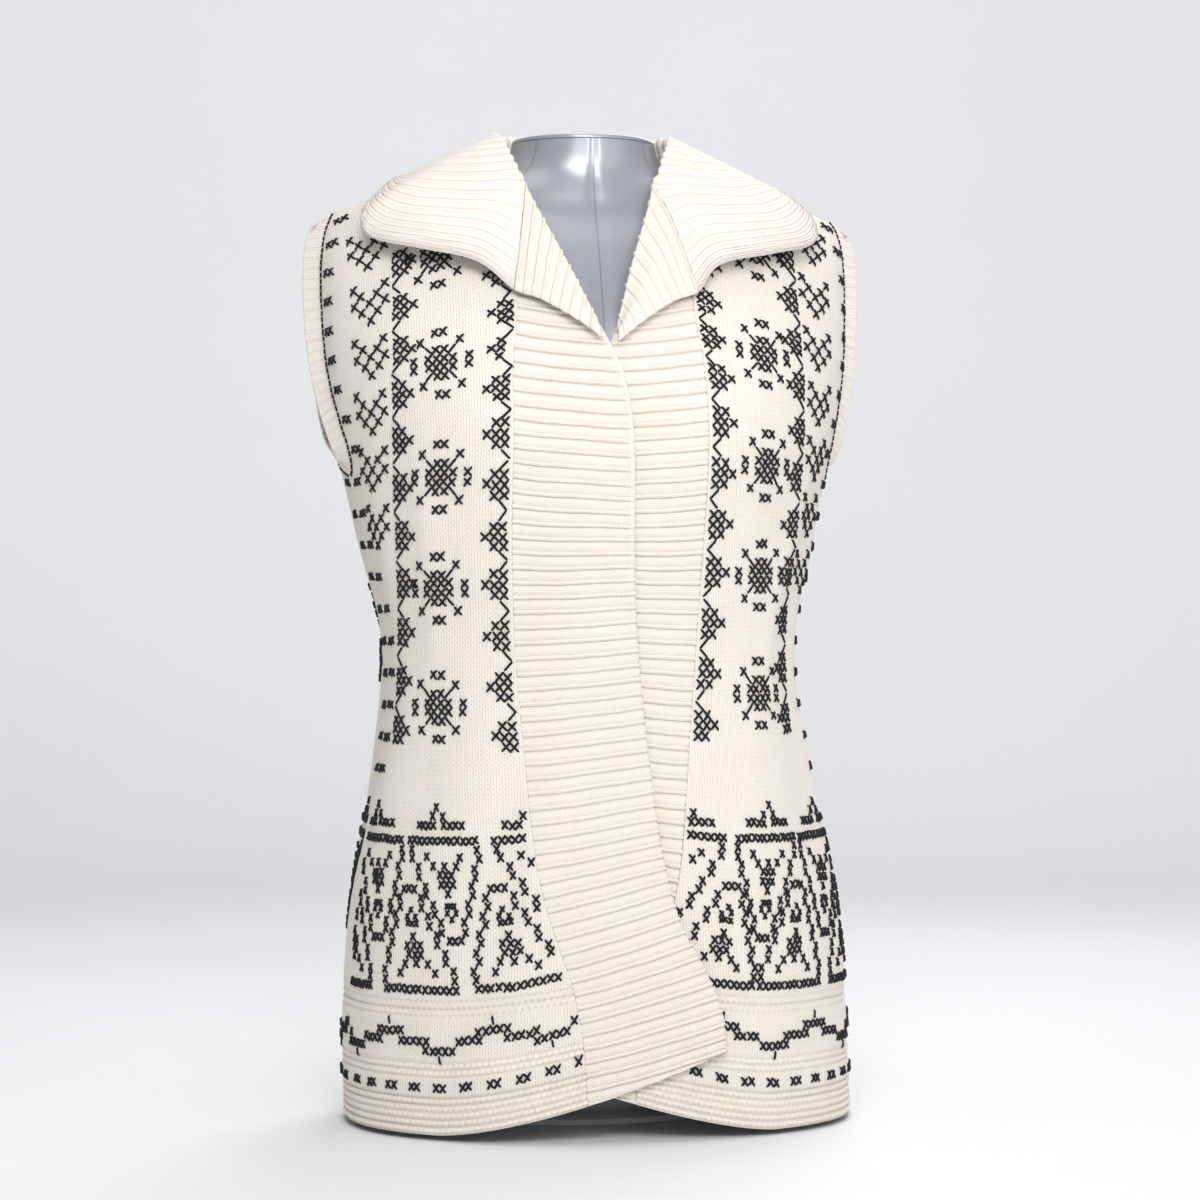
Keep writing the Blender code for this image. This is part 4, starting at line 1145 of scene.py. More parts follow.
# where the motifs stand: own x from the centre and height, in metres
motifs = {
    "cell": (0.0061, 0.0062),          # one cross of the borders
    "medallionCell": (0.0056, 0.0062),
    "trellisCell": (0.0063, 0.0063),
    "pairCell": (0.0058, 0.0060),
    "lowCell": (0.0048, 0.0061),       # closer worked below the waist
    "innerBorder": (0.578, 0.552, 0.527, 0.500, 0.470, 0.436, 0.402, 0.370, 0.336, 0.302, 0.269),
    "seamAway": 0.0024,
    # the outer border: height, then the own x of its straight side
    "outerBorder": [(0.588, 0.1385), (0.557, 0.1390), (0.527, 0.1400), (0.497, 0.1415),
                    (0.466, 0.1415), (0.435, 0.1405), (0.403, 0.1385), (0.371, 0.1365),
                    (0.338, 0.1355), (0.305, 0.1365), (0.272, 0.1385)],
    "leftLift": 0.0085,                # the left front hangs a little higher
    "leftShift": -0.0025,
    "medallions": [(0.592, 0.111), (0.5175, 0.111), (0.4415, 0.1115), (0.368, 0.1105),
                   (0.288, 0.1105)],
    "trellis": (0.602, 0.300, 0.0385),  # highest, lowest and pitch
    "trellisAway": 0.0195,
    "edgePitch": 0.0220,
    "edgeInset": 0.0135,
    "insetLow": 0.70,                  # share of that inset below the armhole
    "insetFade": (0.47, 0.06),         # where that share starts and over what height
    "edgeLevels": (0.245, 0.62),
    "outerAway": 0.0065,
    "backstitch": (0.0046, 0.0022),    # length, and distance from the armhole's edge
    "trellisClear": (0.0050, 0.0040),  # room left for the pairs and for the border
    "trellisLeast": 0.5,               # a lattice narrower than this share is left out
    # the tents in turn from the band, each front's own; the first is half hidden
    "tentArcs": {-1: (0.0455, 0.0750, 0.1165, 0.1430, 0.1770, 0.2080, 0.2380),
                 1: (0.0360, 0.0700, 0.1050, 0.1290, 0.1655, 0.1930, 0.2260)},
    "tentLean": (0.26, 0.22, 0.14, 0.13, 0.06, 0.02, 0.0),
    "tentCells": (0.0048, 0.0048, 0.0042, 0.0045, 0.0042, 0.0042, 0.0042),
    "uprightLevel": 0.1335,
    "hungLevel": 0.1660,
    "crownLevel": 0.2150,
    "crownRise": 0.045,                # height over which a crown follows its tent's lean
    "waveArc": {-1: 0.1250, 1: 0.1080},
    "waveLevel": 0.0660,
    "waveCells": 16,
    "waveLead": 5.5,                   # cells from its anchor to its middle
    "hemPairLevel": 0.0355,
    "hemPairCells": 4,
    "hemPairCount": 16,
    "pull": 0.0060,                    # how far the rows are drawn up beside the band
    "pullArc": 0.075,
    "backBorders": ((0.040, -1), (0.118, 1)),
    "backBorderRows": (0.575, 0.0318, 11),  # highest, pitch and count
    "backMedallions": ((0.0, 1), (0.078, 2)),  # own x, and on how many sides
    "backLevels": (0.535, 0.4605, 0.386, 0.3115),
    "backTrellis": (0.146, 0.588, 0.0385, 8),  # own x, highest, pitch and count
    "backTentPitch": 0.0345,
    "backTents": 6,
    "backPast": 190.0,                 # lets stitches lie on the back's centre line
}


def leftPlace(side, ownX, z, shift=motifs["leftShift"]):
    # the same motif on the left front hangs a little higher and nearer the centre
    share = float(ease((z - 0.235) / 0.05)) if side > 0 else 0.0
    return anchorAt(side, ownX + shift * share, z + motifs["leftLift"] * share)


def triangleBorder(anchors, side, flip, back):
    # triangles down a seam, joined by slanting stitches that swing to it and back
    crosses, height, lean = [], motifs["cell"][1], 0.0
    for i, (arc, level, degrees) in enumerate(anchors):
        last = i + 1 == len(anchors)
        if not last:
            runs = upRuns[int(round(degrees / 10))]
            drop = np.interp(level, upLevels, runs) - np.interp(anchors[i + 1][1], upLevels, runs)
            swing = arc - anchors[i + 1][0] + float(backShift(level, np.array(anchors[i + 1][1]), back))
            height, lean = float(drop) / 5, swing / float(drop)
        places = shifted(chartPlaces("triangle", (motifs["cell"][0], height), flip), 0, -height)
        if last:
            places = [place for place in places if place[4] == 0]
        crosses += spotsFor(side, (arc, level, degrees), places, back, lean)
    return crosses


def tentFigure(upright, width):
    # an outlined figure with stepped sides, and a sprig and a bud inside it
    cell = (width, motifs["lowCell"][1])
    places = chartPlaces("tent", cell)
    places += shifted(chartPlaces("sprig", cell), 0, -1.7 * cell[1])
    places += shifted(chartPlaces("bud", (cell[0] * 0.72, cell[1] * 0.72)), 0, 2.4 * cell[1])
    if upright:
        return places
    return [(across, -up, width, height, -slant) for across, up, width, height, slant in places]


def backCentre(level):
    return float(arcAt(180.0, level))


def lowerRows(side, back):
    # the rows of tents, waves and pairs round the lower part
    crosses = []
    arcs, leans = motifs["tentArcs"][int(side)], motifs["tentLean"]
    widths = motifs["tentCells"]
    if back:
        count = motifs["backTents"] + 1
        arcs = -motifs["backTentPitch"] * np.arange(count - 1, -1, -1)
        arcs, leans, widths = arcs if side > 0 else arcs[:-1], [0] * count, widths[-1:] * count
    for i, (arc, lean, width) in enumerate(zip(arcs, leans, widths)):
        upright = i % 2 == 1
        level = motifs["uprightLevel"] if upright else motifs["hungLevel"]
        own = arc + backCentre(level) if back else arc
        degrees = float(degreesAtArc(own, level))
        crosses += spotsFor(side, (own, level, degrees), tentFigure(upright, width), back, lean)
        if not upright:
            top = motifs["crownLevel"]
            anchor = (arc + (backCentre(top) if back else lean * motifs["crownRise"]), top, degrees)
            crown = chartPlaces("crown", (width, motifs["lowCell"][1]))
            crosses += spotsFor(side, anchor, crown, back, lean)
    cell = motifs["lowCell"]
    start = backCentre(motifs["waveLevel"]) if back else motifs["waveArc"][int(side)]
    for n in range(-4 if back else -2, 1 if back else 3):
        arc = start + n * motifs["waveCells"] * cell[0]
        degrees = float(degreesAtArc(max(arc, 0.01), motifs["waveLevel"]))
        wave = shifted(chartPlaces("wave", cell), motifs["waveLead"] * cell[0], 0)
        anchor = (arc, motifs["waveLevel"], degrees)
        crosses += spotsFor(side, anchor, wave, back, past=False)
    level, step, pair = motifs["hemPairLevel"], motifs["hemPairCells"], chartPlaces("pair", cell)
    for n in range(motifs["hemPairCount"]):
        arc = backCentre(level) - step * cell[0] * (n + 0.5) if back else 0.010 + step * cell[0] * n
        degrees = float(degreesAtArc(max(arc, 0.005), level))
        crosses += spotsFor(side, (arc, level, degrees), pair, back, past=False)
    return crosses


def pairInset(level):
    # how far the pairs lie from the armhole or, closer, from the side seam
    start, fade = motifs["insetFade"]
    return motifs["edgeInset"] * (1 - (1 - motifs["insetLow"]) * float(ease((start - level) / fade)))


def edgeColumn(side, back):
    # pairs of crosses that follow the armhole and the side seam
    crosses = []
    level, high = motifs["edgeLevels"]
    while level < min(high, cloth["shoulderLevel"] - 0.0002):
        edge = float(armEdge(np.array(level), 1 if back else 0))
        arc = float(arcAt(edge, level)) + (pairInset(level) if back else -pairInset(level))
        pair = chartPlaces("pair", motifs["pairCell"])
        crosses += spotsFor(side, (arc, level, edge), pair, back)
        level = levelAbove(level, motifs["edgePitch"], 120 if back else 60)
    return crosses


def armholeLines(side, back):
    # a line of backstitch just inside the armhole's edge
    length, inset = motifs["backstitch"]
    top = cloth["shoulderLevel"] - 0.0008
    levels = [armRows[0, 0] - 0.001]
    while levels[-1] < top:
        levels.append(levelAbove(levels[-1], length, 100 if back else 70) + 1e-5)
    line = []
    for level in levels[:-1]:
        edge = float(armEdge(np.array(level), 1 if back else 0))
        arc = float(arcAt(edge, level)) + (inset if back else -inset)
        line.append((side, arc, level))
    return [line]


def frontEmbroidery(side):
    width = 1.5 * motifs["cell"][0]
    inner = []
    for z in motifs["innerBorder"]:
        seam = float(smoothAt(bandRows, np.array(z))[0]) + motifs["seamAway"]
        inner.append(leftPlace(side, seam + width, z, 0))
    outer = [leftPlace(side, x - motifs["outerAway"], z) for z, x in motifs["outerBorder"]]
    crosses = triangleBorder(inner, side, 1, False) + triangleBorder(outer, side, -1, False)
    for z, x in motifs["medallions"]:
        places = chartPlaces("medallion", motifs["medallionCell"])
        crosses += spotsFor(side, leftPlace(side, x, z), places, False)
    heights, edges = np.array(motifs["outerBorder"][::-1]).T
    z, lowest, pitch = motifs["trellis"]
    across, up = motifs["trellisCell"]
    halfCells = len(charts["trellis"][0]) / 2
    nearPairs, nearBorder = motifs["trellisClear"]
    while z > lowest:
        arc, level, degrees = leftPlace(side, float(np.interp(z, heights, edges)), z)
        last = float(arcAt(armEdge(np.array(level), 0), level)) - pairInset(level) - nearPairs
        half = min(halfCells * across, (last - arc - nearBorder) / 2)
        if half > motifs["trellisLeast"] * halfCells * across:
            at = min(arc + motifs["trellisAway"], last - half)
            places = chartPlaces("trellis", (half / halfCells, up))
            crosses += spotsFor(side, (at, level, degrees), places, False)
        z -= pitch
    crosses += edgeColumn(side, False)
    crosses += lowerRows(side, False)
    parts = crossStitches(crosses, False, 101 if side < 0 else 102)
    return parts + runningLine(armholeLines(side, False), False, 103), len(crosses)


def backEmbroidery():
    parts, total = [], 0
    top, pitch, count = motifs["backBorderRows"]
    trellisX, trellisTop, trellisPitch, trellises = motifs["backTrellis"]
    medallion = chartPlaces("medallion", motifs["medallionCell"])
    trellis = chartPlaces("trellis", motifs["trellisCell"])
    for side in (-1.0, 1.0):
        crosses = []
        for ownX, flip in motifs["backBorders"]:
            anchors = [backAnchor(ownX, top - i * pitch) for i in range(count)]
            crosses += triangleBorder(anchors, side, flip, True)
        for ownX, times in motifs["backMedallions"]:
            if times == 1 and side < 0:
                continue
            for level in motifs["backLevels"]:
                crosses += spotsFor(side, backAnchor(ownX, level), medallion, True)
        for i in range(trellises):
            crosses += spotsFor(side, backAnchor(trellisX, trellisTop - i * trellisPitch), trellis, True)
        crosses += edgeColumn(side, True)
        crosses += lowerRows(side, True)
        parts += crossStitches(crosses, True, 111 if side < 0 else 112)
        parts += runningLine(armholeLines(side, True), True, 113)
        total += len(crosses)
    return parts, total


def makeGroup(name, inputs, outputs):
    tree = bpy.data.node_groups.new(name, "ShaderNodeTree")
    for label, kind, value in inputs:
        socket = tree.interface.new_socket(label, in_out="INPUT", socket_type=kind)
        if value is not None:
            socket.default_value = value
    for label, kind in outputs:
        tree.interface.new_socket(label, in_out="OUTPUT", socket_type=kind)
    return tree, tree.nodes.new("NodeGroupInput").outputs, tree.nodes.new("NodeGroupOutput").inputs


def feed(tree, socket, value):
    if isinstance(value, bpy.types.NodeSocket):
        tree.links.new(value, socket)
    elif value is not None:
        socket.default_value = value


def calc(tree, operation, *values, clamp=False):
    node = tree.nodes.new("ShaderNodeMath")
    node.operation = operation
    node.use_clamp = clamp
    for socket, value in zip(node.inputs, values):
        feed(tree, socket, value)
    return node.outputs[0]


def blendColour(tree, factor, first, second, mode="MIX"):
    node = tree.nodes.new("ShaderNodeMix")
    node.data_type = "RGBA"
    node.blend_type = mode
    feed(tree, node.inputs["Factor"], factor)
    feed(tree, node.inputs[6], first)
    feed(tree, node.inputs[7], second)
    return node.outputs[2]


def noise(tree, vector, scale, detail=2.0, roughness=0.5):
    node = tree.nodes.new("ShaderNodeTexNoise")
    feed(tree, node.inputs["Vector"], vector)
    feed(tree, node.inputs["Scale"], scale)
    node.inputs["Detail"].default_value = detail
    node.inputs["Roughness"].default_value = roughness
    return node.outputs["Fac"]


def knitGroup():
    # rows of V stitches: Across runs over the wales and Along up them, in metres
    tree, given, out = makeGroup("knitStitches", [
        ("Across", "NodeSocketFloat", 0.0), ("Along", "NodeSocketFloat", 0.0),
        ("Stitch Width", "NodeSocketFloat", 0.004), ("Stitch Height", "NodeSocketFloat", 0.0033),
        ("Slant", "NodeSocketFloat", 0.85),
    ], [("Height", "NodeSocketFloat"), ("Hollow Shade", "NodeSocketFloat")])
    wale = calc(tree, "FRACT", calc(tree, "DIVIDE", given["Across"], given["Stitch Width"]))
    away = calc(tree, "MULTIPLY", calc(tree, "ABSOLUTE", calc(tree, "SUBTRACT", wale, 0.5)), 2.0)
    course = calc(tree, "DIVIDE", given["Along"], given["Stitch Height"])
    slanted = calc(tree, "ADD", course, calc(tree, "MULTIPLY", away, given["Slant"]))
    leg = calc(tree, "ABSOLUTE", calc(tree, "SINE", calc(tree, "MULTIPLY", slanted, math.pi)))
    leg = calc(tree, "POWER", leg, 0.6)
    bow = calc(tree, "POWER", calc(tree, "SINE", calc(tree, "MULTIPLY", away, math.pi)), 0.5)
    feed(tree, out["Height"], calc(tree, "MULTIPLY", bow, calc(tree, "MULTIPLY_ADD", leg, 0.6, 0.4)))
    # painted shade: the hollow output darkens the gaps between the wales and between the rows, darkest where
    # they meet
    low, end = (calc(tree, "SUBTRACT", 1.0, part) for part in (bow, leg))
    dotShade = calc(tree, "MULTIPLY", low, calc(tree, "MULTIPLY_ADD", end, 0.75, 0.25))
    feed(tree, out["Hollow Shade"], calc(tree, "MULTIPLY_ADD", end, 0.12, dotShade, clamp=True))
    return tree


def purlGroup():
    # rows of purl bumps, each row half a stitch off the one below
    tree, given, out = makeGroup("purlBumps", [
        ("Across", "NodeSocketFloat", 0.0), ("Along", "NodeSocketFloat", 0.0),
        ("Stitch Width", "NodeSocketFloat", 0.004), ("Row Height", "NodeSocketFloat", 0.0048),
    ], [("Height", "NodeSocketFloat"), ("Hollow Shade", "NodeSocketFloat")])
    row = calc(tree, "DIVIDE", given["Along"], given["Row Height"])
    odd = calc(tree, "MULTIPLY", calc(tree, "MODULO", calc(tree, "FLOOR", row), 2.0), 0.5)
    across = calc(tree, "ADD", calc(tree, "DIVIDE", given["Across"], given["Stitch Width"]), odd)
    bump = calc(tree, "ABSOLUTE", calc(tree, "SINE", calc(tree, "MULTIPLY", across, math.pi)))
    ridge = calc(tree, "ABSOLUTE", calc(tree, "SINE", calc(tree, "MULTIPLY", row, math.pi)))
    height = calc(tree, "MULTIPLY", calc(tree, "POWER", bump, 0.6), calc(tree, "POWER", ridge, 0.4))
    feed(tree, out["Height"], height)
    # painted shade: the hollow output darkens the hollows between the purl bumps
    feed(tree, out["Hollow Shade"], calc(tree, "SUBTRACT", 1.0, height, clamp=True))
    return tree


def ribGroup():
    # painted shadow: dark lines in the creases above and below each raised ridge, stronger under it
    tree, given, out = makeGroup("ribCreaseShades", [
        ("Along", "NodeSocketFloat", 0.0), ("Pitch", "NodeSocketFloat", 0.0102),
        ("Ridge", "NodeSocketFloat", 0.34),
    ], [("Crease Shade", "NodeSocketFloat")])
    place = calc(tree, "FRACT", calc(tree, "DIVIDE", given["Along"], given["Pitch"]))
    creases = []
    under = calc(tree, "MINIMUM", place, calc(tree, "SUBTRACT", 1.0, place))
    above = calc(tree, "SUBTRACT", place, given["Ridge"])
    for away, width, depth in ((under, 0.080, 0.85), (above, 0.060, 0.45)):
        square = calc(tree, "POWER", calc(tree, "ABSOLUTE", calc(tree, "DIVIDE", away, width)), 2.0)
        fall = calc(tree, "EXPONENT", calc(tree, "MULTIPLY", square, -1.0))
        creases.append(calc(tree, "MULTIPLY", fall, depth))
    feed(tree, out["Crease Shade"], calc(tree, "MAXIMUM", *creases))
    return tree


def woolGroup():
    # fine fuzz of wool and the uneven tone of the yarn
    tree, given, out = makeGroup("woolFuzz", [
        ("Vector", "NodeSocketVector", None), ("Fuzz Scale", "NodeSocketFloat", 1600.0),
        ("Tone Scale", "NodeSocketFloat", 45.0),
    ], [("Height", "NodeSocketFloat"), ("Tone", "NodeSocketFloat")])
    fine = noise(tree, given["Vector"], given["Fuzz Scale"], 3.0, 0.65)
    strands = noise(tree, given["Vector"], calc(tree, "MULTIPLY", given["Fuzz Scale"], 0.3), 2.0, 0.6)
    feed(tree, out["Height"], calc(tree, "MULTIPLY_ADD", strands, 0.6, calc(tree, "MULTIPLY", fine, 0.4)))
    broad = noise(tree, given["Vector"], given["Tone Scale"], 3.0, 0.6)
    feed(tree, out["Tone"], calc(tree, "MULTIPLY_ADD", strands, 0.35, calc(tree, "MULTIPLY", broad, 0.65)))
    return tree


groups = {"knit": knitGroup(), "purl": purlGroup(), "ribs": ribGroup(), "wool": woolGroup()}


def addGroup(tree, name, **values):
    node = tree.nodes.new("ShaderNodeGroup")
    node.node_tree = groups[name]
    for label, value in values.items():
        feed(tree, node.inputs[label.replace("_", " ")], value)
    return node.outputs


def startMaterial(name, settings):
    material = bpy.data.materials.new(name)
    material.use_nodes = True
    tree = material.node_tree
    shader = tree.nodes["Principled BSDF"]
    for label, value in settings.items():
        shader.inputs[label].default_value = value
    return material, tree, shader


def bumpChain(tree, shader, heights):
    # bumps on top of each other: (height, strength, distance in metres)
    normal = None
    for height, strength, distance in heights:
        bump = tree.nodes.new("ShaderNodeBump")
        bump.inputs["Strength"].default_value = strength
        bump.inputs["Distance"].default_value = distance
        feed(tree, bump.inputs["Height"], height)
        if normal is not None:
            tree.links.new(normal, bump.inputs["Normal"])
        normal = bump.outputs["Normal"]
    tree.links.new(normal, shader.inputs["Normal"])


creamWool = {
    "field": [(0.850, 0.790, 0.690, 1), (0.885, 0.840, 0.765, 1)],
    "rib": [(0.880, 0.800, 0.705, 1), (0.918, 0.852, 0.782, 1)],
    # painted shade: the darker colour mixed into the stitches' hollows and the grooves, and how strongly it
    # goes into the grooves
    "hollowShade": (0.660, 0.590, 0.480, 1),
    "grooveShadeShare": 0.50,
    "surface": {"Roughness": 0.92, "Specular IOR Level": 0.25, "Sheen Weight": 0.22,
                "Sheen Roughness": 0.55},
}


def woolMaterial(name, pattern, turned, width, height, depth, hollowShadeShare, tones, ribs=None):
    # cream wool in one of the knitted patterns, with painted shade in its stitches' hollows and grooves;
    # turned swaps the pattern's directions, and ribs are the pitch and the ridge's share of the ribs that
    # lie over it
    material, tree, shader = startMaterial(name, creamWool["surface"])
    uv = tree.nodes.new("ShaderNodeUVMap")
    uv.uv_map = "knitMap"
    split = tree.nodes.new("ShaderNodeSeparateXYZ")
    tree.links.new(uv.outputs["UV"], split.inputs[0])
    across, along = ("Y", "X") if turned else ("X", "Y")
    rowLabel = "Stitch_Height" if pattern == "knit" else "Row_Height"
    sizes = {"Stitch_Width": width, rowLabel: height}
    stitches = addGroup(tree, pattern, Across=split.outputs[across], Along=split.outputs[along], **sizes)
    place = tree.nodes.new("ShaderNodeTexCoord").outputs["Object"]
    wool = addGroup(tree, "wool", Vector=place)
    tone = calc(tree, "MULTIPLY_ADD", wool["Tone"], 2.4, -0.75, clamp=True)
    body = blendColour(tree, tone, *creamWool[tones])
    # per-point painted groove shade
    grooveShade = tree.nodes.new("ShaderNodeAttribute")
    grooveShade.attribute_name = "grooveShade"
    creases, bumps = grooveShade.outputs["Fac"], []
    # painted shade along the rib creases, scaled by the per-point groove shade
    if ribs:
        lines = addGroup(tree, "ribs", Along=split.outputs["Y"], Pitch=ribs[0], Ridge=ribs[1])
        creases = calc(tree, "MULTIPLY", creases, lines["Crease Shade"])
        bumps = [(calc(tree, "SUBTRACT", 1.0, creases), 0.8, ribs[0] * 0.08)]
    # painted shade: the stitches' hollows and the crease lines are mixed towards the darker shade colour
    hollowShade = calc(tree, "MULTIPLY", stitches["Hollow Shade"], hollowShadeShare)
    hollowShade = calc(tree, "MULTIPLY_ADD", creases, creamWool["grooveShadeShare"], hollowShade, clamp=True)
    tree.links.new(blendColour(tree, hollowShade, body, creamWool["hollowShade"]), shader.inputs["Base Color"])
    rough = calc(tree, "MULTIPLY_ADD", wool["Height"], 0.12, 0.84)
    tree.links.new(rough, shader.inputs["Roughness"])
    bumps += [(stitches["Height"], 0.8, depth), (wool["Height"], 0.5, 0.00030)]
    bumpChain(tree, shader, bumps)
    return material


darkYarn = {
    "deep": (0.0065, 0.0062, 0.0095, 1),
    # paler flecks, dimmed between the plies as painted shade
    "worn": (0.0200, 0.0190, 0.0260, 1),
    "surface": {"Roughness": 0.80, "Specular IOR Level": 0.30, "Sheen Weight": 0.10,
                "Sheen Roughness": 0.45},
}


def yarnMaterial():
    # two twisted plies: slanting ridges along each stitch, with painted shade between the plies
    material, tree, shader = startMaterial("twistedDarkYarn", darkYarn["surface"])
    uv = tree.nodes.new("ShaderNodeUVMap")
    uv.uv_map = "knitMap"
    split = tree.nodes.new("ShaderNodeSeparateXYZ")
    tree.links.new(uv.outputs["UV"], split.inputs[0])
    twist = calc(tree, "ADD", split.outputs["X"], calc(tree, "MULTIPLY", split.outputs["Y"], 0.6))
    ply = calc(tree, "ABSOLUTE", calc(tree, "SINE", calc(tree, "MULTIPLY", twist, math.pi / 0.0009)))
    place = tree.nodes.new("ShaderNodeTexCoord").outputs["Object"]
    wool = addGroup(tree, "wool", Vector=place)
    fleck = calc(tree, "MULTIPLY_ADD", wool["Height"], 2.2, -0.8, clamp=True)
    # painted shade: the pale flecks fade to 0.4 of their share between the plies
    fleckPlyShade = calc(tree, "MULTIPLY", fleck, calc(tree, "MULTIPLY_ADD", ply, 0.6, 0.4))
    tree.links.new(blendColour(tree, fleckPlyShade, darkYarn["deep"], darkYarn["worn"]),
                   shader.inputs["Base Color"])
    bumpChain(tree, shader, [(ply, 0.6, 0.00025), (wool["Height"], 0.4, 0.00015)])
    return material


formCover = {
    "light": (0.345, 0.350, 0.385, 1),
    "dark": (0.298, 0.303, 0.338, 1),
    "seam": (0.160, 0.165, 0.195, 1),
    "surface": {"Roughness": 0.42, "Metallic": 0.20, "Coat Weight": 0.35, "Coat Roughness": 0.16,
                "Specular IOR Level": 0.5},
}


def formMaterial(name, seams):
    # a silvery cover, glossy and a little uneven, with darker lines at its seams
    material, tree, shader = startMaterial(name, formCover["surface"])
    place = tree.nodes.new("ShaderNodeTexCoord").outputs["Object"]
    wool = addGroup(tree, "wool", Vector=place, Fuzz_Scale=420.0, Tone_Scale=18.0)
    tone = calc(tree, "MULTIPLY_ADD", wool["Tone"], 1.8, -0.4, clamp=True)
    body = blendColour(tree, tone, formCover["dark"], formCover["light"])
    if seams:
        split = tree.nodes.new("ShaderNodeSeparateXYZ")
        tree.links.new(place, split.inputs[0])
        back = calc(tree, "MULTIPLY", split.outputs["Y"], -1.0)
        turn = calc(tree, "ABSOLUTE", calc(tree, "ARCTAN2", split.outputs["X"], back))
        radius = calc(tree, "SQRT", calc(tree, "ADD", calc(tree, "POWER", split.outputs["X"], 2.0),
                                         calc(tree, "POWER", split.outputs["Y"], 2.0)))
        line = 0.0
        for degrees in (0.0, 50.0, 130.0, 180.0):
            away = calc(tree, "ABSOLUTE", calc(tree, "SUBTRACT", turn, math.radians(degrees)))
            away = calc(tree, "MULTIPLY", away, radius)
            near = calc(tree, "SUBTRACT", 1.0, calc(tree, "DIVIDE", away, 0.0009), clamp=True)
            line = calc(tree, "MAXIMUM", line, near)
        body = blendColour(tree, calc(tree, "MULTIPLY", line, 0.75), body, formCover["seam"])
    tree.links.new(body, shader.inputs["Base Color"])
    rough = calc(tree, "MULTIPLY_ADD", wool["Tone"], 0.08, 0.26)
    tree.links.new(rough, shader.inputs["Roughness"])
    bumpChain(tree, shader, [(wool["Tone"], 0.15, 0.0004), (wool["Height"], 0.10, 0.00008)])
    return material


footFinish = {
    "light": (0.62, 0.63, 0.65, 1),
    "dark": (0.52, 0.53, 0.56, 1),
    "surface": {"Roughness": 0.38, "Metallic": 0.0, "Coat Weight": 0.2, "Coat Roughness": 0.25},
}


def footMaterial():
    material, tree, shader = startMaterial("paintedFoot", footFinish["surface"])
    place = tree.nodes.new("ShaderNodeTexCoord").outputs["Object"]
    wool = addGroup(tree, "wool", Vector=place, Fuzz_Scale=300.0, Tone_Scale=25.0)
    tone = calc(tree, "MULTIPLY_ADD", wool["Tone"], 1.8, -0.4, clamp=True)
    tree.links.new(blendColour(tree, tone, footFinish["dark"], footFinish["light"]),
                   shader.inputs["Base Color"])
    rough = calc(tree, "MULTIPLY_ADD", wool["Tone"], 0.2, 0.28)
    tree.links.new(rough, shader.inputs["Roughness"])
    bumpChain(tree, shader, [(wool["Height"], 0.15, 0.0002)])
    return material


finishes = {
    "field": woolMaterial("creamStockinette", "knit", False, 0.0040, 0.0033, 0.00055, 1.1, "field"),
    "garter": woolMaterial("creamGarter", "purl", False, 0.0042, 0.0048, 0.00060, 0.40, "field"),
    "ribs": woolMaterial("creamRib", "knit", True, 0.0034, 0.0030, 0.00040, 1.0, "rib",
                         (frontBand["pitch"], frontBand["ridge"])),
    "collar": woolMaterial("creamCollar", "knit", True, 0.0047, 0.0034, 0.00030, 0.40, "rib",
                           (collar["ribPitch"], 0.5)),
    "edging": woolMaterial("creamEdging", "knit", True, 0.0043, 0.0034, 0.00045, 0.60, "rib"),
    "yarn": yarnMaterial(),
    "cover": formMaterial("silverCover", True),
    "cap": formMaterial("silverCap", False),
    "foot": footMaterial(),
}
print("materials made")


def paintPanel(piece, levels, columns):
    # stockinette, with garter stitch on the rows of the hem and the welts
    mesh = piece.data
    mesh.materials.append(finishes["field"])
    mesh.materials.append(finishes["garter"])
    rowOf = np.arange(len(mesh.vertices)) // columns % len(levels)
    starts = np.zeros(len(mesh.polygons), np.int32)
    mesh.polygons.foreach_get("loop_start", starts)
    corners = np.zeros(len(mesh.loops), np.int32)
    mesh.loops.foreach_get("vertex_index", corners)
    first = levels[rowOf[corners[starts]]]
    second = levels[rowOf[corners[starts + 2]]]
    middle = (first + second) / 2
    inGarter = np.zeros(len(middle), bool)
    for low, high in garter["zones"]:
        inGarter |= (middle > low) & (middle < high)
    mesh.polygons.foreach_set("material_index", inGarter.astype(np.int32))


def settle(piece, node, finish=None):
    if finish:
        piece.data.materials.append(finishes[finish])
    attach(piece, "root")
    if node:
        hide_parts(node)
    return piece


words = {-1: "right", 1: "left"}


backMesh, backLevels = makeBack()
columns = len(backMesh.data.vertices) // (2 * len(backLevels))
paintPanel(backMesh, backLevels, columns)
settle(backMesh, "back")
parts, crossCount = backEmbroidery()
backStitches = settle(joinYarn("backStitches", parts), None, "yarn")
print("back made", crossCount)

for side in (-1, 1):
    word = words[side]
    front, frontLevels = makeFront(side)
    columns = len(front.data.vertices) // (2 * len(frontLevels))
    paintPanel(front, frontLevels, columns)
    settle(front, f"front_{word}")
    parts, crossCount = frontEmbroidery(float(side))
    stitches = settle(joinYarn(f"{word}Stitches", parts), None, "yarn")
    band = settle(makeBand(side), f"band_{word}", "ribs")
    turned = settle(makeLapel(side), f"lapel_{word}", "ribs")
    ribbing = settle(makeArmband(side), f"armband_{word}", "edging")
    print(word, "side made", crossCount)

ribbedCollar = settle(makeCollar(), "collar", "collar")
settle(makeTorso(), "form_torso", "cover")
settle(makeNeckCap(), "form_neck_cap", "cap")
settle(makeFoot(), "form_foot", "foot")
print("collar and form made")

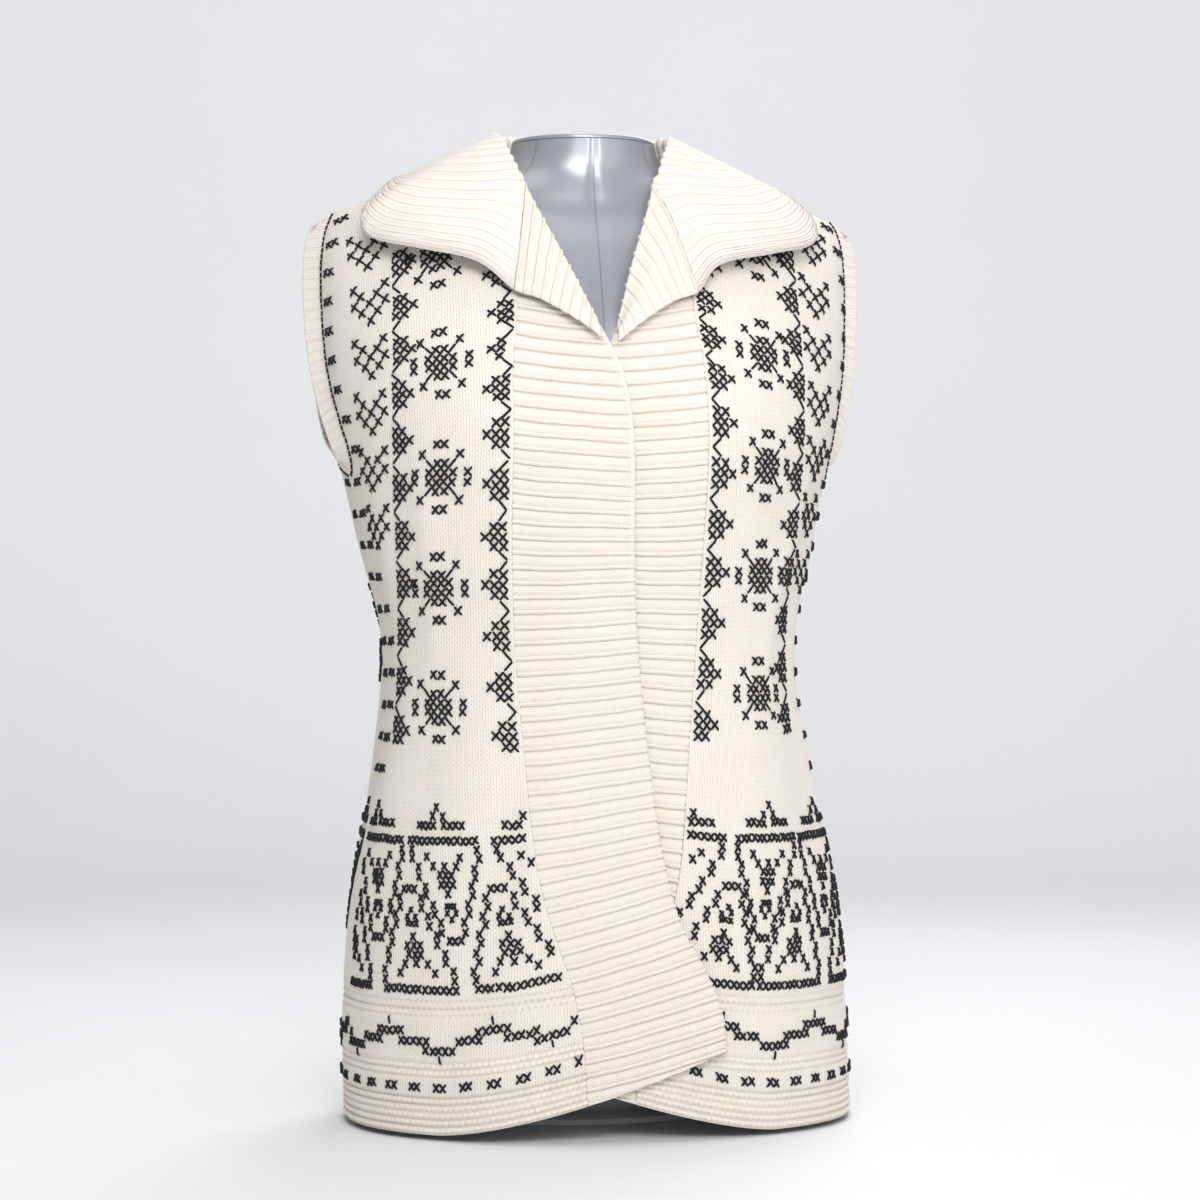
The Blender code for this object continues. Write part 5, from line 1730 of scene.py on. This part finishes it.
studio = {
    "wall": (0.86, 0.86, 0.865, 1),
    "floorDepth": 1.9,
    "curve": 1.4,
    "cameraTarget": (0.0118, -0.0019, 0.36),
    "cameraDistance": 2.3,
    "cameraTurn": -9.0,
    "lens": 98.6,
    "lights": [
        # name, place, aim, width, height, power, spread in degrees
        ("keyLight", (-0.25, -1.85, 1.40), (0.0, 0.0, 0.42), 0.8, 0.8, 21.5, 180),
        ("fillLight", (1.5, -2.2, 0.9), (0.0, 0.0, 0.40), 1.8, 1.8, 11.0, 180),
        ("neckLight", (0.36, -1.9, 0.96), (0.0, 0.0, 0.66), 0.16, 0.34, 0.60, 60),
        ("topLight", (0.1, -0.3, 2.3), (0.0, 0.0, 0.4), 1.6, 1.2, 9, 180),
        ("backLight", (0.9, 1.6, 1.6), (0.0, 0.0, 0.4), 1.4, 1.4, 6, 80),
        ("wallLight", (0.6, 0.6, 3.8), (1.0, 3.3, 1.5), 4.0, 2.0, 33, 120),
    ],
    "air": (0.93, 0.95, 1.0, 1),
    "airStrength": 0.42,
}


def makeStage():
    # a seamless sweep: floor in front, a wide curve, then the wall
    flat, curve = studio["floorDepth"], studio["curve"]
    profile = [(-4.0, 0.0), (flat, 0.0)]
    for k in range(1, 17):
        turn = math.radians(90 * k / 16)
        profile.append((flat + curve * math.sin(turn), curve - curve * math.cos(turn)))
    profile.append((flat + curve, 4.8))
    points, faces = [], []
    for x in np.linspace(-5, 5, 9):
        points += [(x, y, z) for y, z in profile]
    count = len(profile)
    for i in range(8):
        for j in range(count - 1):
            a = i * count + j
            faces.append((a, a + 1, a + 1 + count, a + count))
    sweep = meshObject("studioSweep", np.array(points), np.array(faces))
    material, tree, shader = startMaterial("palePaper", {"Roughness": 0.95, "Specular IOR Level": 0.1})
    place = tree.nodes.new("ShaderNodeTexCoord").outputs["Object"]
    grain = noise(tree, place, 3.0, 2.0)
    darker = tuple(0.975 * c for c in studio["wall"][:3]) + (1,)
    tree.links.new(blendColour(tree, grain, darker, studio["wall"]), shader.inputs["Base Color"])
    sweep.data.materials.append(material)


def makeLights():
    for name, place, aim, width, height, power, spread in studio["lights"]:
        lamp = bpy.data.lights.new(name, "AREA")
        lamp.shape = "RECTANGLE"
        lamp.size, lamp.size_y, lamp.energy = width, height, power
        lamp.spread = math.radians(spread)
        light = bpy.data.objects.new(name, lamp)
        light.location = place
        toward = Vector(aim) - Vector(place)
        light.rotation_mode = "QUATERNION"
        light.rotation_quaternion = toward.to_track_quat("-Z", "Y")
        bpy.context.scene.collection.objects.link(light)
    world = bpy.data.worlds.new("softAir")
    world.use_nodes = True
    air = world.node_tree.nodes["Background"]
    air.inputs["Color"].default_value = studio["air"]
    air.inputs["Strength"].default_value = studio["airStrength"]
    bpy.context.scene.world = world


def makeCamera():
    camera = bpy.data.objects.new("studioCamera", bpy.data.cameras.new("studioCamera"))
    turn = math.radians(studio["cameraTurn"])
    away = Vector((math.sin(turn), -math.cos(turn), 0))
    camera.location = Vector(studio["cameraTarget"]) + away * studio["cameraDistance"]
    camera.rotation_mode = "QUATERNION"
    camera.rotation_quaternion = (-away).to_track_quat("-Z", "Y")
    camera.data.lens = studio["lens"]
    camera.data.sensor_width = 36
    bpy.context.scene.collection.objects.link(camera)
    bpy.context.scene.camera = camera
    bpy.context.scene.view_settings.view_transform = "Standard"


makeStage()
makeLights()
makeCamera()
print("studio made")
